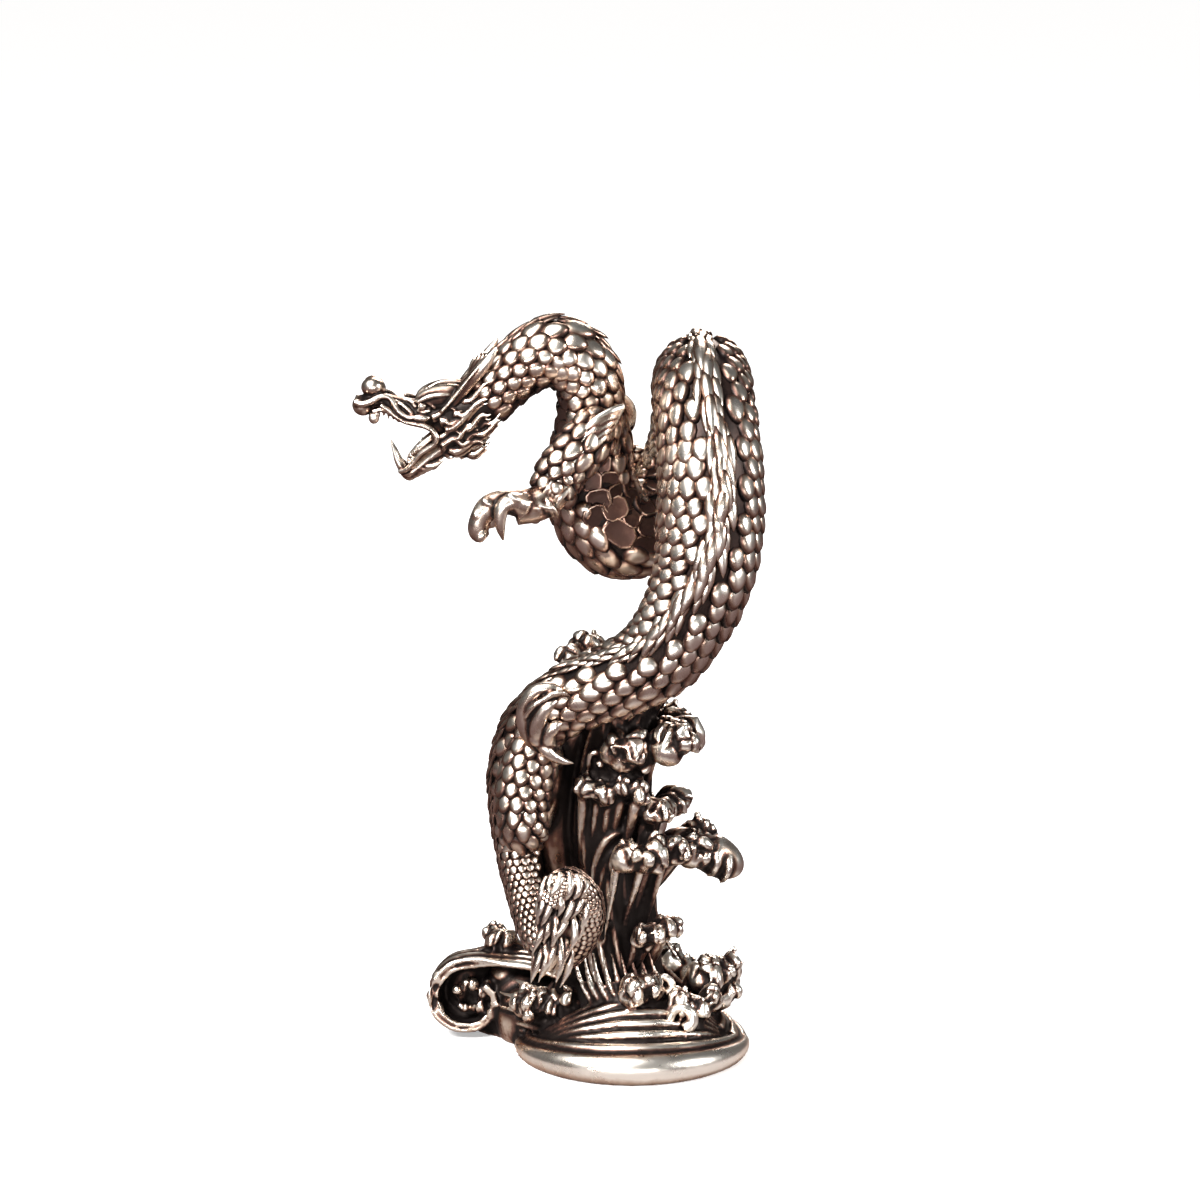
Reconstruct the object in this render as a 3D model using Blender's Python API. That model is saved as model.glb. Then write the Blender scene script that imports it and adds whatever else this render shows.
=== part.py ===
"""Cast brass dragon climbing out of breaking waves, made as one solid casting on a flat foot.

Metres, +Z up. The viewer stands at -Y, the dragon's head looks to -X. The origin is on the
underside, at the middle of the foot. Blender 4.5: blender --background --python part.py
"""
import math

import bmesh
import bpy
import numpy as np
from mathutils import Matrix, Vector

# Driving sizes, in metres
HEIGHT = 0.0763        # underside of the foot to the crest of the neck
FOOT_WIDTH = 0.0330    # left swirl to right foam
FOOT_DEPTH = 0.0270    # front lip to the back
LIP_RADIUS = 0.0019    # rounded front lip of the foot
GRAIN = 0.00026        # finest detail that the mould keeps
FACET_SHARE = 0.0246   # share of the fine skin's triangles that the solid keeps

# The figure is drawn as a casting of this height in millimetres and keeps its proportions
DRAWN_HEIGHT = 76.3
DRAWN_FOOT = (33.0, 27.0)
MM = HEIGHT / DRAWN_HEIGHT

# Dragon's spine from the skull to the tail's end: x, y, z, radius in drawn millimetres, then the
# direction of the back ridge
SPINE = [
    (-13.4, -1.0, 66.0, 2.3, (-0.4, 0.0, 0.9)),
    (-10.8, -1.0, 67.0, 2.5, (-0.6, 0.0, 0.8)),
    (-7.3, -0.6, 70.2, 2.7, (-0.6, 0.0, 0.8)),
    (-3.4, 0.0, 72.0, 3.1, (0.0, 0.0, 1.0)),
    (-0.7, 0.5, 69.9, 3.0, (0.8, 0.0, 0.6)),
    (-0.1, 1.0, 66.6, 2.9, (1.0, 0.1, 0.1)),
    (0.1, 1.4, 62.7, 3.6, (0.6, 0.8, 0.0)),
    (0.2, 1.6, 57.6, 4.2, (-0.5, 0.85, 0.0)),
    (2.4, 2.0, 53.8, 4.4, (-0.3, 0.9, -0.4)),
    (6.2, 4.4, 53.8, 4.5, (0.2, 0.9, -0.4)),
    (9.6, 8.0, 57.0, 4.6, (0.3, 1.0, -0.1)),
    (11.2, 9.6, 62.3, 4.6, (0.0, 1.0, 0.1)),
    (11.2, 6.7, 66.8, 4.5, (0.0, 0.8, 0.6)),
    (11.2, 1.8, 68.4, 4.4, (0.0, 0.0, 1.0)),
    (11.4, -3.4, 66.5, 4.5, (0.1, -0.8, 0.6)),
    (11.8, -5.8, 61.5, 4.7, (0.3, -0.95, 0.1)),
    (11.8, -6.6, 55.6, 4.8, (0.2, -0.95, 0.0)),
    (11.2, -7.0, 51.2, 4.5, (0.0, -1.0, 0.1)),
    (9.4, -7.0, 46.6, 4.1, (-0.2, -0.9, 0.3)),
    (6.6, -6.6, 42.6, 3.7, (-0.1, -0.8, 0.6)),
    (2.4, -5.6, 39.9, 3.3, (0.0, -0.5, 0.8)),
    (-2.0, -4.2, 37.7, 3.0, (-0.4, -0.3, 0.9)),
    (-5.4, -2.4, 34.4, 2.8, (-0.9, -0.2, 0.5)),
    (-7.1, -0.6, 29.8, 2.6, (-1.0, -0.2, 0.0)),
    (-7.3, 0.0, 25.4, 2.4, (-1.0, -0.2, 0.0)),
    (-7.0, -0.3, 20.9, 2.1, (-1.0, -0.1, -0.1)),
    (-6.3, -1.8, 16.8, 1.8, (-1.0, 0.0, -0.2)),
    (-5.0, -4.6, 13.2, 1.6, (-0.8, -0.2, -0.6)),
    (-2.6, -6.5, 12.2, 1.5, (0.0, -0.3, -1.0)),
    (-0.5, -7.5, 14.9, 1.4, (1.0, 0.0, 0.0)),
    (-0.4, -8.1, 18.1, 1.35, (1.0, 0.0, 0.3)),
    (-2.4, -8.6, 20.0, 1.3, (0.0, 0.0, 1.0)),
    (-4.2, -9.0, 18.0, 1.2, (-1.0, 0.0, 0.0)),
]
HEAD_MIDDLE = -1.0     # y of the plane that halves the head


def unit(vector):
    vector = np.asarray(vector, float)
    return vector / np.linalg.norm(vector)


def smooth(rows, steps):
    """Catmull-Rom curve through rows of numbers, with steps samples on each span."""
    rows = np.asarray(rows, float)
    ends = np.vstack([2 * rows[0] - rows[1], rows, 2 * rows[-1] - rows[-2]])
    curve = []
    for a, b, c, d in zip(ends, ends[1:], ends[2:], ends[3:]):
        for t in np.arange(steps) / steps:
            bend = (2 * a - 5 * b + 4 * c - d) * t**2 + (3 * b - a - 3 * c + d) * t**3
            curve.append(0.5 * (2 * b + (c - a) * t + bend))
    return np.array(curve + [rows[-1]])


class Clay:
    """Closed shapes in drawn millimetres, gathered in one mesh before they are fused."""

    def __init__(self):
        self.shapes = bmesh.new()
        self.page = bpy.data.meshes.new("page")

    def gather(self, shape):
        """Adds one closed shape with its faces pointing out."""
        bmesh.ops.recalc_face_normals(shape, faces=shape.faces[:])
        shape.to_mesh(self.page)
        shape.free()
        self.shapes.from_mesh(self.page)

    def rings(self, centres, broad, across, sides):
        """Skin through one ellipse at each centre, with half axes broad and across."""
        shape = bmesh.new()
        loops = []
        for centre, long, short in zip(centres, broad, across):
            place = Matrix.Identity(4)
            place.col[0][:3] = long
            place.col[1][:3] = short
            place.col[2][:3] = unit(np.cross(long, short))
            place.col[3][:3] = centre
            made = bmesh.ops.create_circle(shape, segments=sides, radius=1.0, matrix=place)
            loops.append([edge for edge in shape.edges if edge.verts[0] in set(made["verts"])])
        for near, far in zip(loops, loops[1:]):
            bmesh.ops.bridge_loops(shape, edges=near + far)
        bmesh.ops.edgeloop_fill(shape, edges=loops[0])
        bmesh.ops.edgeloop_fill(shape, edges=loops[-1])
        self.gather(shape)

    def tube(self, rows, sides=8, steps=4, flat=1.0, thin=(0.0, 1.0, 0.0)):
        """Tube through rows of x, y, z, radius. It is flattened to the share flat along thin."""
        path = smooth(rows, steps)
        centres, radii = path[:, :3], np.maximum(path[:, 3], 0.18)
        across = np.asarray(thin, float)
        broad_axes, thin_axes = [], []
        for way, radius in zip(np.gradient(centres, axis=0), radii):
            way = unit(way)
            across = across - way * (across @ way)
            if np.linalg.norm(across) < 1e-3:
                across = np.cross(way, (0.3, 0.5, 0.8))
            across = unit(across)
            broad_axes.append(radius * np.cross(across, way))
            thin_axes.append(radius * flat * across)
        self.rings(centres, broad_axes, thin_axes, sides)

    def ball(self, centre, radii, lift=0.0, sides=10):
        """Ellipsoid whose X radius is tipped up by lift degrees in the XZ plane."""
        place = (Matrix.Translation(Vector(centre)) @ Matrix.Rotation(-math.radians(lift), 4, "Y")
                 @ Matrix.Diagonal((*radii, 1.0)))
        shape = bmesh.new()
        bmesh.ops.create_uvsphere(shape, u_segments=sides, v_segments=sides * 2 // 3, radius=1.0,
                                  matrix=place)
        self.gather(shape)


def spine_frames(steps):
    """Centre, radius, way along, back ridge and flank directions at each step down the spine."""
    rows = [(x, y, z, r, *unit(back)) for x, y, z, r, back in SPINE]
    path = smooth(rows, steps)
    along = np.gradient(path[:, :3], axis=0)
    frames = []
    for row, way in zip(path, along):
        way = unit(way)
        back = unit(row[4:7] - way * (row[4:7] @ way))
        frames.append((row[:3], row[3], way, back, np.cross(way, back)))
    return frames


def spaced(frames, gap):
    """Frames picked so that the next is gap radii further on."""
    picked, run = [frames[0]], 0.0
    for before, here in zip(frames, frames[1:]):
        run += np.linalg.norm(here[0] - before[0])
        if run >= gap * here[1]:
            picked.append(here)
            run = 0.0
    return picked


def body(clay):
    """Snake-like trunk, a little deeper than it is wide."""
    frames = spine_frames(5)
    clay.rings([centre for centre, *_ in frames],
               [radius * 1.04 * back for _, radius, _, back, _ in frames],
               [radius * flank for _, radius, _, _, flank in frames], 16)


def back_fin(clay):
    """Row of flame-shaped blades along the back, leaning to the tail."""
    for n, (centre, radius, way, back, flank) in enumerate(spaced(spine_frames(12), 0.3)[3:]):
        size = (0.5 + 0.16 * radius) * (1.12 if n % 2 else 0.9)
        root = centre + back * (radius * 0.98 - size * 0.5)
        clay.tube([
            (*(root - way * size), size * 0.75),
            (*(root + back * size * 0.5 + way * size * 0.4), size * 0.7),
            (*(root + back * size * 0.9 + way * size * 1.7), size * 0.36),
            (*(root + back * size * 1.05 + way * size * 2.7), 0.06),
        ], sides=6, steps=2, flat=0.45, thin=flank)


def belly_plates(clay):
    """Broad overlapping plates across the belly."""
    for centre, radius, way, back, flank in spaced(spine_frames(12), 0.46)[3:]:
        if radius < 1.5:
            break
        seat = centre - back * radius * 0.86
        reach = 0.62 * radius
        clay.tube([
            (*(seat - flank * reach + back * radius * 0.2), 0.12 * radius),
            (*(seat - flank * reach * 0.5), 0.24 * radius),
            (*(seat - back * radius * 0.06), 0.26 * radius),
            (*(seat + flank * reach * 0.5), 0.24 * radius),
            (*(seat + flank * reach + back * radius * 0.2), 0.12 * radius),
        ], sides=6, steps=2, flat=0.6, thin=back)


def paired(rows, half_width):
    """Rows of x, z, offset, radius as rows on the near and on the far side of the head."""
    for side in (-1, 1):
        yield [(x, HEAD_MIDDLE + side * (half_width + out), z, r) for x, z, out, r in rows]


def head(clay):
    """Skull, snout and open lower jaw, with lips, teeth, eyes, brows and horns."""
    middle = HEAD_MIDDLE
    clay.ball((-13.3, middle, 66.4), (3.1, 2.6, 2.7), 25)
    # Upper jaw: x, z, half height, half width from the cheek to the nose
    upper = [(-13.0, 66.4, 2.4, 2.4), (-15.0, 66.5, 1.7, 2.1), (-17.2, 66.3, 1.3, 1.8),
             (-19.2, 66.7, 1.0, 1.5), (-20.8, 67.0, 1.0, 1.5), (-22.2, 67.2, 1.35, 1.7),
             (-23.1, 67.0, 0.9, 1.2)]
    lower = [(-12.6, 64.4, 1.9, 2.2), (-14.3, 63.0, 1.2, 1.9), (-15.9, 61.7, 0.9, 1.5),
             (-17.4, 60.4, 0.8, 1.2), (-18.4, 60.0, 0.75, 1.0), (-18.9, 60.1, 0.45, 0.6)]
    for jaw in (upper, lower):
        way = unit((jaw[-1][0] - jaw[0][0], 0.0, jaw[-1][1] - jaw[0][1]))
        rows = smooth(jaw, 3)
        clay.rings([(x, middle, z) for x, z, _, _ in rows],
                   [(-way[2] * tall, 0.0, way[0] * tall) for _, _, tall, _ in rows],
                   [(0.0, wide, 0.0) for _, _, _, wide in rows], 10)
    clay.ball((-21.6, middle, 68.7), (1.0, 1.3, 0.9), 0)
    for side in (-1, 1):
        clay.ball((-21.4, middle + side * 0.75, 69.0), (0.9, 0.6, 0.75), 10)
        clay.ball((-16.6, middle + side * 1.8, 67.2), (0.5, 0.4, 0.45), 0)
        clay.ball((-14.9, middle + side * 1.25, 68.6), (2.1, 0.8, 1.0), 14)
    lips = [(-23.0, 66.2, 0.0, 0.5), (-21.6, 65.9, 0.2, 0.4), (-20.0, 66.6, 0.3, 0.35),
            (-18.6, 66.2, 0.5, 0.35), (-17.0, 65.0, 0.8, 0.35), (-15.4, 64.7, 1.0, 0.35),
            (-14.9, 63.8, 1.0, 0.35), (-15.8, 62.7, 0.7, 0.32), (-17.2, 61.3, 0.4, 0.3),
            (-18.9, 60.7, 0.0, 0.3)]
    horn = [(-13.8, 67.9, 0.0, 0.75), (-11.4, 70.2, 0.3, 0.7), (-9.6, 72.4, 0.8, 0.45),
            (-8.4, 74.0, 1.2, 0.1)]
    fang = [(-18.5, 60.6, 0.0, 0.5), (-19.1, 61.9, 0.0, 0.4), (-19.6, 63.2, 0.0, 0.1)]
    upper_fang = [(-21.3, 66.0, 0.0, 0.5), (-21.2, 65.2, 0.0, 0.1)]
    for rows, wide, sides in ((lips, 1.2, 6), (horn, 1.4, 6), (fang, 0.6, 5), (upper_fang, 0.8, 5)):
        for side in paired(rows, wide):
            clay.tube(side, sides=sides, steps=2)
    for n in range(5):
        x, z = -16.3 - 0.42 * n, 62.9 - 0.42 * n
        for side in paired([(x, z, 0.0, 0.25), (x - 0.3, z + 0.45, 0.0, 0.08)], 1.3 - 0.1 * n):
            clay.tube(side, sides=5, steps=1)
    clay.tube([(-14.0, middle, 64.2, 0.9), (-16.0, middle, 63.0, 0.7), (-17.3, middle, 62.3, 0.3)],
              flat=0.5, thin=(0.7, 0.0, 0.7))


def mane(clay):
    """Wavy locks that stream back from the cheeks, the crown and under the jaw."""
    # Root x, z and offset from the head's plane, then the tip's x, z and offset
    locks = [(-14.2, 66.6, 1.9, -8.4, 69.2, 2.9), (-14.0, 65.8, 2.1, -8.8, 67.2, 3.1),
             (-13.6, 65.0, 2.1, -9.2, 65.4, 3.0), (-13.4, 64.1, 2.0, -9.8, 63.9, 2.7),
             (-13.0, 63.2, 1.7, -10.0, 62.8, 2.2), (-12.9, 67.6, 1.6, -7.6, 71.4, 2.6),
             (-14.2, 62.2, 1.2, -11.6, 61.3, 1.4), (-15.8, 61.5, 0.9, -13.8, 61.2, 0.9),
             (-11.8, 68.4, 0.9, -9.6, 71.6, 1.5), (-12.0, 68.8, 0.2, -10.6, 71.6, 0.4)]
    for x, z, out, tip_x, tip_z, tip_out in locks:
        rows = []
        for t in (0.0, 0.3, 0.6, 0.85, 1.0):
            wave = 0.35 * math.sin(t * 2 * math.pi)
            rows.append((x + (tip_x - x) * t, z + (tip_z - z) * t + wave,
                         out + (tip_out - out) * t, 0.6 * (1 - t) + 0.1))
        for side in paired(rows, 0.0):
            clay.tube(side, sides=6, steps=2)


def paw(clay, wrist, forward, down, size):
    """Clenched paw: three hooked toes in front and a short one behind."""
    forward, down = unit(forward), unit(down)
    across = unit(np.cross(forward, down))
    palm = np.asarray(wrist) + forward * size
    clay.ball(palm, (1.25 * size,) * 3)
    for spread in (-0.85, 0.0, 0.85):
        root = palm + across * spread * size + forward * size * 0.3
        clay.tube([
            (*root, 0.62 * size),
            (*(root + forward * size * 1.3 - down * size * 0.15), 0.66 * size),
            (*(root + forward * size * 2.0 + down * size * 0.9), 0.6 * size),
            (*(root + forward * size * 1.8 + down * size * 2.2), 0.42 * size),
            (*(root + forward * size * 0.9 + down * size * 3.0), 0.1),
        ], sides=7, steps=2)
    thumb = palm - forward * size * 0.6
    clay.tube([(*thumb, 0.5 * size), (*(thumb + down * size * 1.2), 0.45 * size),
               (*(thumb + down * size * 1.9 + forward * size * 0.6), 0.1)], sides=6, steps=2)


def legs(clay):
    """Forelegs reaching out from the shoulders and hind legs folded on the water."""
    near_fore = [(2.6, -3.2, 66.4, 2.2), (-0.4, -4.4, 63.6, 2.2), (-2.8, -4.9, 61.0, 2.0),
                 (-3.9, -5.1, 58.6, 1.85), (-5.4, -5.4, 57.5, 1.65), (-7.5, -5.6, 57.7, 1.4)]
    clay.tube(near_fore, sides=10)
    paw(clay, (-7.6, -5.8, 57.9), (-1.0, -0.1, 0.05), (0.1, 0.0, -1.0), 1.2)
    far_fore = [(2.8, 4.4, 65.4, 2.2), (1.0, 7.4, 63.0, 2.1), (1.6, 9.6, 60.2, 1.8),
                (4.2, 11.2, 58.6, 1.6), (6.0, 11.9, 58.2, 1.3)]
    clay.tube(far_fore, sides=10)
    paw(clay, (6.1, 12.0, 58.1), (1.0, 0.2, -0.2), (-0.2, 0.1, -1.0), 1.0)
    near_hind = [(-5.0, -3.6, 33.6, 2.4), (-6.6, -4.6, 28.6, 2.4), (-6.6, -5.0, 24.6, 2.0),
                 (-4.6, -5.4, 24.2, 1.6), (-3.1, -5.4, 27.4, 1.3), (-2.9, -5.4, 30.6, 1.1)]
    clay.tube(near_hind, sides=10)
    clay.tube([(-7.2, -5.0, 23.2, 0.9), (-8.8, -5.2, 22.2, 0.12)], sides=5, steps=1)
    paw(clay, (-2.9, -5.6, 31.4), (-0.5, -0.4, 0.85), (1.0, -0.5, 0.1), 1.05)
    far_hind = [(-3.4, 0.0, 34.6, 2.6), (-2.8, 4.2, 31.0, 2.5), (-2.0, 6.6, 27.4, 2.0),
                (0.0, 7.0, 28.4, 1.6), (1.2, 6.0, 31.0, 1.3)]
    clay.tube(far_hind, sides=10)
    paw(clay, (1.4, 5.8, 31.4), (0.4, 0.5, 0.8), (0.8, -0.6, 0.2), 1.0)


def tail_tuft(clay):
    """Two tiers of flame-shaped locks that hang from the tail's end."""
    root = np.array((-3.9, -9.2, 18.4))
    for tier, (count, long, start) in enumerate(((5, 5.6, 0.0), (6, 6.0, 3.6))):
        for n in range(count):
            lean = -0.55 + 1.05 * n / (count - 1)
            side = np.array((lean * 2.2 + 0.6 * tier, -0.3 + 0.35 * (n % 2), 0.0))
            top = root + side * 0.5 + np.array((0.6, 0.2, -start))
            tip = top + np.array((lean * 2.6 - 0.8, 0.1, -long * (1 - 0.35 * abs(lean))))
            middle = (top + tip) / 2 + np.array((0.7, -0.3, 0.0))
            clay.tube([(*top, 0.6), (*middle, 0.85), (*tip, 0.08)],
                      sides=6, steps=4, flat=0.5, thin=(0.0, 1.0, 0.0))


def curl(clay, foot, centre, out, size, thick, turns=0.8):
    """Finger of water: it rises from foot, bends over towards out and rolls in round centre."""
    out, up = unit((*out, 0.0)), np.array((0.0, 0.0, 1.0))
    foot, centre = np.asarray(foot, float), np.asarray(centre, float)
    start = centre - out * size
    rows = [(*foot, thick * 1.2), (*((foot + start) / 2 + out * 0.12 * size), thick)]
    count = 7
    for n in range(count):
        t = n / (count - 1)
        angle = math.pi * (1 - 2 * turns * t)
        reach = size * (1 - 0.5 * t)
        rows.append((*(centre + reach * (math.cos(angle) * out + math.sin(angle) * up)),
                     thick * (1 - 0.25 * t)))
    clay.tube(rows, sides=6, steps=3)
    clay.ball(np.array(rows[-1][:3]), (thick * 1.15,) * 3, sides=8)


def breaker(clay, foot, centre, out, size, width, fingers, thick=0.8):
    """Breaking crest: fingers of water side by side, no two alike."""
    sideways = np.array((-out[1], out[0], 0.0)) / math.hypot(*out)
    for n in range(fingers):
        place = (n / (fingers - 1) - 0.5) * width
        odd = math.sin(2.4 * n + 1.0)
        curl(clay,
             np.asarray(foot) + sideways * place * 0.8,
             np.asarray(centre) + sideways * place + np.array((0, 0, 0.25 * odd)) * size,
             out, size * (1 + 0.18 * odd), thick * (1 - 0.12 * odd))


def water_column(clay):
    """Spout of water that carries the dragon, fluted lengthways, with tiers of breaking crests."""
    trunk = [(1.6, 1.0, -1.0, 8.4), (2.0, 1.0, 4.0, 6.8), (2.4, 1.2, 10.0, 5.0), (2.6, 1.0, 17.0, 4.3),
             (2.1, 0.8, 24.0, 4.3), (2.6, 0.0, 31.0, 3.9), (3.0, -1.6, 37.0, 3.5), (3.6, -3.4, 40.5, 2.6)]
    clay.tube(trunk, sides=18)
    path = smooth(trunk, 4)
    flutes = 15
    for n in range(flutes):
        angle = n * 2 * math.pi / flutes
        rows = []
        for x, y, z, r in path[:20:3]:
            twist = angle + 0.03 * z
            rows.append((x + r * math.cos(twist), y + r * math.sin(twist), z, 0.2 + 0.07 * r))
        clay.tube(rows, sides=6, steps=2)
    # Foot of the crest, middle of its roll, way it breaks, size, width, fingers
    tiers = [
        ((5.0, -1.5, 27.0), (8.2, -2.4, 33.2), (1.0, -0.3), 2.4, 4.2, 4),
        ((3.6, -3.0, 26.0), (4.4, -5.0, 32.2), (0.2, -1.0), 1.9, 4.4, 4),
        ((-0.6, 2.0, 29.0), (-1.4, 3.4, 39.8), (-1.0, 0.3), 1.7, 4.6, 4),
        ((3.0, 3.4, 26.0), (4.4, 6.2, 33.0), (0.3, 1.0), 2.1, 5.0, 4),
        ((1.0, -3.0, 20.0), (2.0, -4.4, 28.2), (-0.2, -1.0), 1.1, 5.4, 5),
        ((5.6, -1.5, 18.0), (7.6, -2.4, 26.2), (1.0, -0.4), 1.5, 4.2, 4),
        ((4.0, -3.4, 12.0), (6.2, -5.2, 21.6), (0.5, -1.0), 1.9, 5.0, 5),
        ((5.6, 0.0, 14.0), (10.6, -0.8, 21.6), (1.0, -0.1), 1.9, 2.6, 3),
        ((3.0, 5.0, 12.0), (3.6, 7.6, 21.0), (0.1, 1.0), 2.2, 6.0, 5),
        ((-1.6, 4.0, 10.0), (-3.4, 6.2, 17.6), (-0.8, 0.7), 1.9, 4.4, 4),
        ((5.0, -3.6, 8.0), (6.6, -4.8, 13.4), (0.7, -1.0), 1.1, 4.2, 4),
    ]
    for tier in tiers:
        breaker(clay, *tier)
    clay.ball((12.6, -0.6, 20.5), (3.3, 2.0, 2.1), -32, sides=12)
    clay.ball((9.4, -0.8, 21.6), (2.4, 1.8, 1.8), -20, sides=12)


def swirl(clay, spread):
    """Wave at the left that rolls up into an open spiral."""
    for shift, size, thick in ((0.0, 3.7, 0.75), (1.4, 3.6, 0.9), (3.0, 3.3, 0.95), (4.8, 2.8, 0.9)):
        rows = [np.array((0.0, -1.0 + shift, 6.0)), np.array((-5.0, 0.6 + shift, 8.0)),
                np.array((-8.6, 1.6 + shift, 8.3))]
        for k in range(9):
            angle = math.radians(84 + 40 * k)
            reach = size * (1 - 0.085 * max(k - 3, 0))
            rows.append(np.array((-12.4 + reach * math.cos(angle), 3.0 + shift - 0.12 * k,
                                  4.4 + reach * math.sin(angle))))
        clay.tube([(*(row * spread), thick * (1 - 0.03 * k)) for k, row in enumerate(rows)], sides=7)
    clay.ball(np.array((-12.2, 6.2, 3.4)) * spread, (3.1, 2.4, 3.2), sides=12)
    for n in range(7):
        angle = 1.3 * n
        place = np.array((-12.3 + 1.5 * math.cos(angle), 3.4, 4.2 + 1.4 * math.sin(angle)))
        clay.ball(place * spread, (0.75,) * 3, sides=8)


def foot(clay):
    """Low mound of churned water with a rounded front lip, swirls and foam round its edge."""
    wide, deep = FOOT_WIDTH / MM / DRAWN_FOOT[0], FOOT_DEPTH / MM / DRAWN_FOOT[1]
    lip = LIP_RADIUS / MM
    spread = np.array((wide, deep, 1.0))

    def over(x, y, z):
        return np.array((x, y, z)) * spread

    clay.ball(over(4.2, 0.2, -0.8), np.array((12.0, 12.6, 5.2)) * spread, sides=24)
    clay.ball(over(-6.4, 5.0, -0.4), np.array((9.0, 6.2, 4.2)) * spread, sides=18)
    clay.ball(over(-6.6, 4.0, 2.4), np.array((3.6, 3.4, 5.0)) * spread, sides=14)
    swirl(clay, spread)
    # Front lip, round the near edge from the left end to the right
    rim = []
    for n in range(12):
        angle = math.radians(186 + 16 * n)
        swell = math.sin(math.pi * (n + 0.6) / 12.2) ** 0.6
        x, y = 4.2 + 11.4 * math.cos(angle), -0.2 + 11.6 * math.sin(angle)
        rim.append((*over(x, y, lip * 0.78), lip * (0.4 + 0.62 * swell)))
    clay.tube(rim, sides=10)
    # Long smooth ridges that fan out from the lip's left end
    for n in range(6):
        rise = 3.0 + 0.55 * n
        rows = [(*over(-6.4, -6.6 + 0.2 * n, 2.0), 0.5), (*over(-1.0, -9.4 + 1.3 * n, rise), 0.9),
                (*over(5.0, -9.0 + 1.5 * n, rise + 0.8), 0.85), (*over(11.4, -5.8 + 1.5 * n, rise), 0.5)]
        clay.tube(rows, sides=6)
    crests = [
        ((-4.0, 5.6, 4.0), (-8.9, 6.4, 8.9), (-0.8, -0.2), 1.0, 2.4, 3),
        ((-2.0, -2.0, 4.0), (-4.6, -3.0, 5.2), (-0.4, -1.0), 1.7, 5.0, 4),
        ((8.0, -4.0, 2.0), (10.4, -5.6, 5.9), (0.4, -1.0), 1.7, 4.0, 4),
        ((10.0, 1.0, 3.0), (12.9, -0.2, 7.4), (0.7, -0.7), 1.7, 4.6, 5),
        ((9.6, 3.0, 2.0), (13.6, 3.0, 4.8), (1.0, 0.2), 1.6, 6.0, 4),
        ((6.0, 7.4, 2.0), (7.6, 9.8, 5.8), (0.5, 1.0), 1.9, 6.0, 5),
        ((-2.0, 7.4, 2.0), (-2.6, 10.2, 6.2), (-0.2, 1.0), 2.0, 7.0, 5),
        ((4.2, -5.0, 3.0), (5.2, -6.6, 8.0), (0.6, -1.0), 1.6, 2.0, 3),
    ]
    for root, centre, out, size, width, fingers in crests:
        breaker(clay, over(*root), over(*centre), out, size, width, fingers, 0.75)
    for n in range(9):
        angle = math.radians(40 * n + 20)
        clay.tube([(*over(2.4 + 4.4 * math.cos(angle), 4.4 * math.sin(angle), 9.0), 0.6),
                   (*over(3.0 + 8.0 * math.cos(angle + 0.2), 8.0 * math.sin(angle + 0.2), 4.4), 0.8),
                   (*over(4.0 + 11.0 * math.cos(angle + 0.4), 11.2 * math.sin(angle + 0.4), 1.6), 0.7)],
                  sides=6)


def patinated_brass():
    """Polished brass darkened in its hollows."""
    metal = bpy.data.materials.new("patinated_brass")
    metal.use_nodes = True
    shader = metal.node_tree.nodes["Principled BSDF"]
    shader.inputs["Base Color"].default_value = (0.42, 0.29, 0.17, 1.0)
    shader.inputs["Metallic"].default_value = 1.0
    shader.inputs["Roughness"].default_value = 0.32
    return metal


def bench():
    """Hidden block that cuts everything below the ground level away."""
    mesh = bpy.data.meshes.new("bench")
    shape = bmesh.new()
    place = Matrix.Translation((0.0, 0.0, -HEIGHT / 2)) @ Matrix.Scale(HEIGHT, 4)
    bmesh.ops.create_cube(shape, size=1.0, matrix=place)
    shape.to_mesh(mesh)
    shape.free()
    cutter = bpy.data.objects.new("bench", mesh)
    cutter.hide_render = True
    cutter.display_type = "WIRE"
    bpy.context.scene.collection.objects.link(cutter)
    return cutter


def cast(clay, name):
    """Fuses the gathered shapes into one faceted solid with a flat underside."""
    mesh = bpy.data.meshes.new(name)
    bmesh.ops.scale(clay.shapes, vec=(MM, MM, MM), verts=clay.shapes.verts[:])
    clay.shapes.to_mesh(mesh)
    clay.shapes.free()
    mesh.materials.append(patinated_brass())
    figure = bpy.data.objects.new(name, mesh)
    bpy.context.scene.collection.objects.link(figure)
    skin = figure.modifiers.new("one skin", "REMESH")
    skin.mode = "VOXEL"
    skin.voxel_size = GRAIN
    polish = figure.modifiers.new("polish", "SMOOTH")
    polish.factor = 0.5
    polish.iterations = 2
    facets = figure.modifiers.new("facets", "DECIMATE")
    facets.ratio = FACET_SHARE
    trim = figure.modifiers.new("flat underside", "BOOLEAN")
    trim.operation = "DIFFERENCE"
    trim.object = bench()
    return figure


def main():
    for old in list(bpy.data.objects):
        bpy.data.objects.remove(old)
    clay = Clay()
    for shape in (body, back_fin, belly_plates, head, mane, legs, tail_tuft, water_column, foot):
        shape(clay)
    cast(clay, "dragon_on_waves")


main()
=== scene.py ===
"""Finished look of a cast brass dragon that climbs out of breaking waves.

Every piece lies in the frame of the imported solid: metres, +Z up, the viewer at -Y, the dragon's
head towards -X, the origin on the underside. Shapes are drawn in millimetres and scaled once.
"""
from math import atan2, cos, hypot, pi, radians, sin, sqrt

import bmesh
import bpy
import numpy as np
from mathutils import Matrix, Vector
from mathutils.bvhtree import BVHTree
from mathutils.kdtree import KDTree


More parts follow.
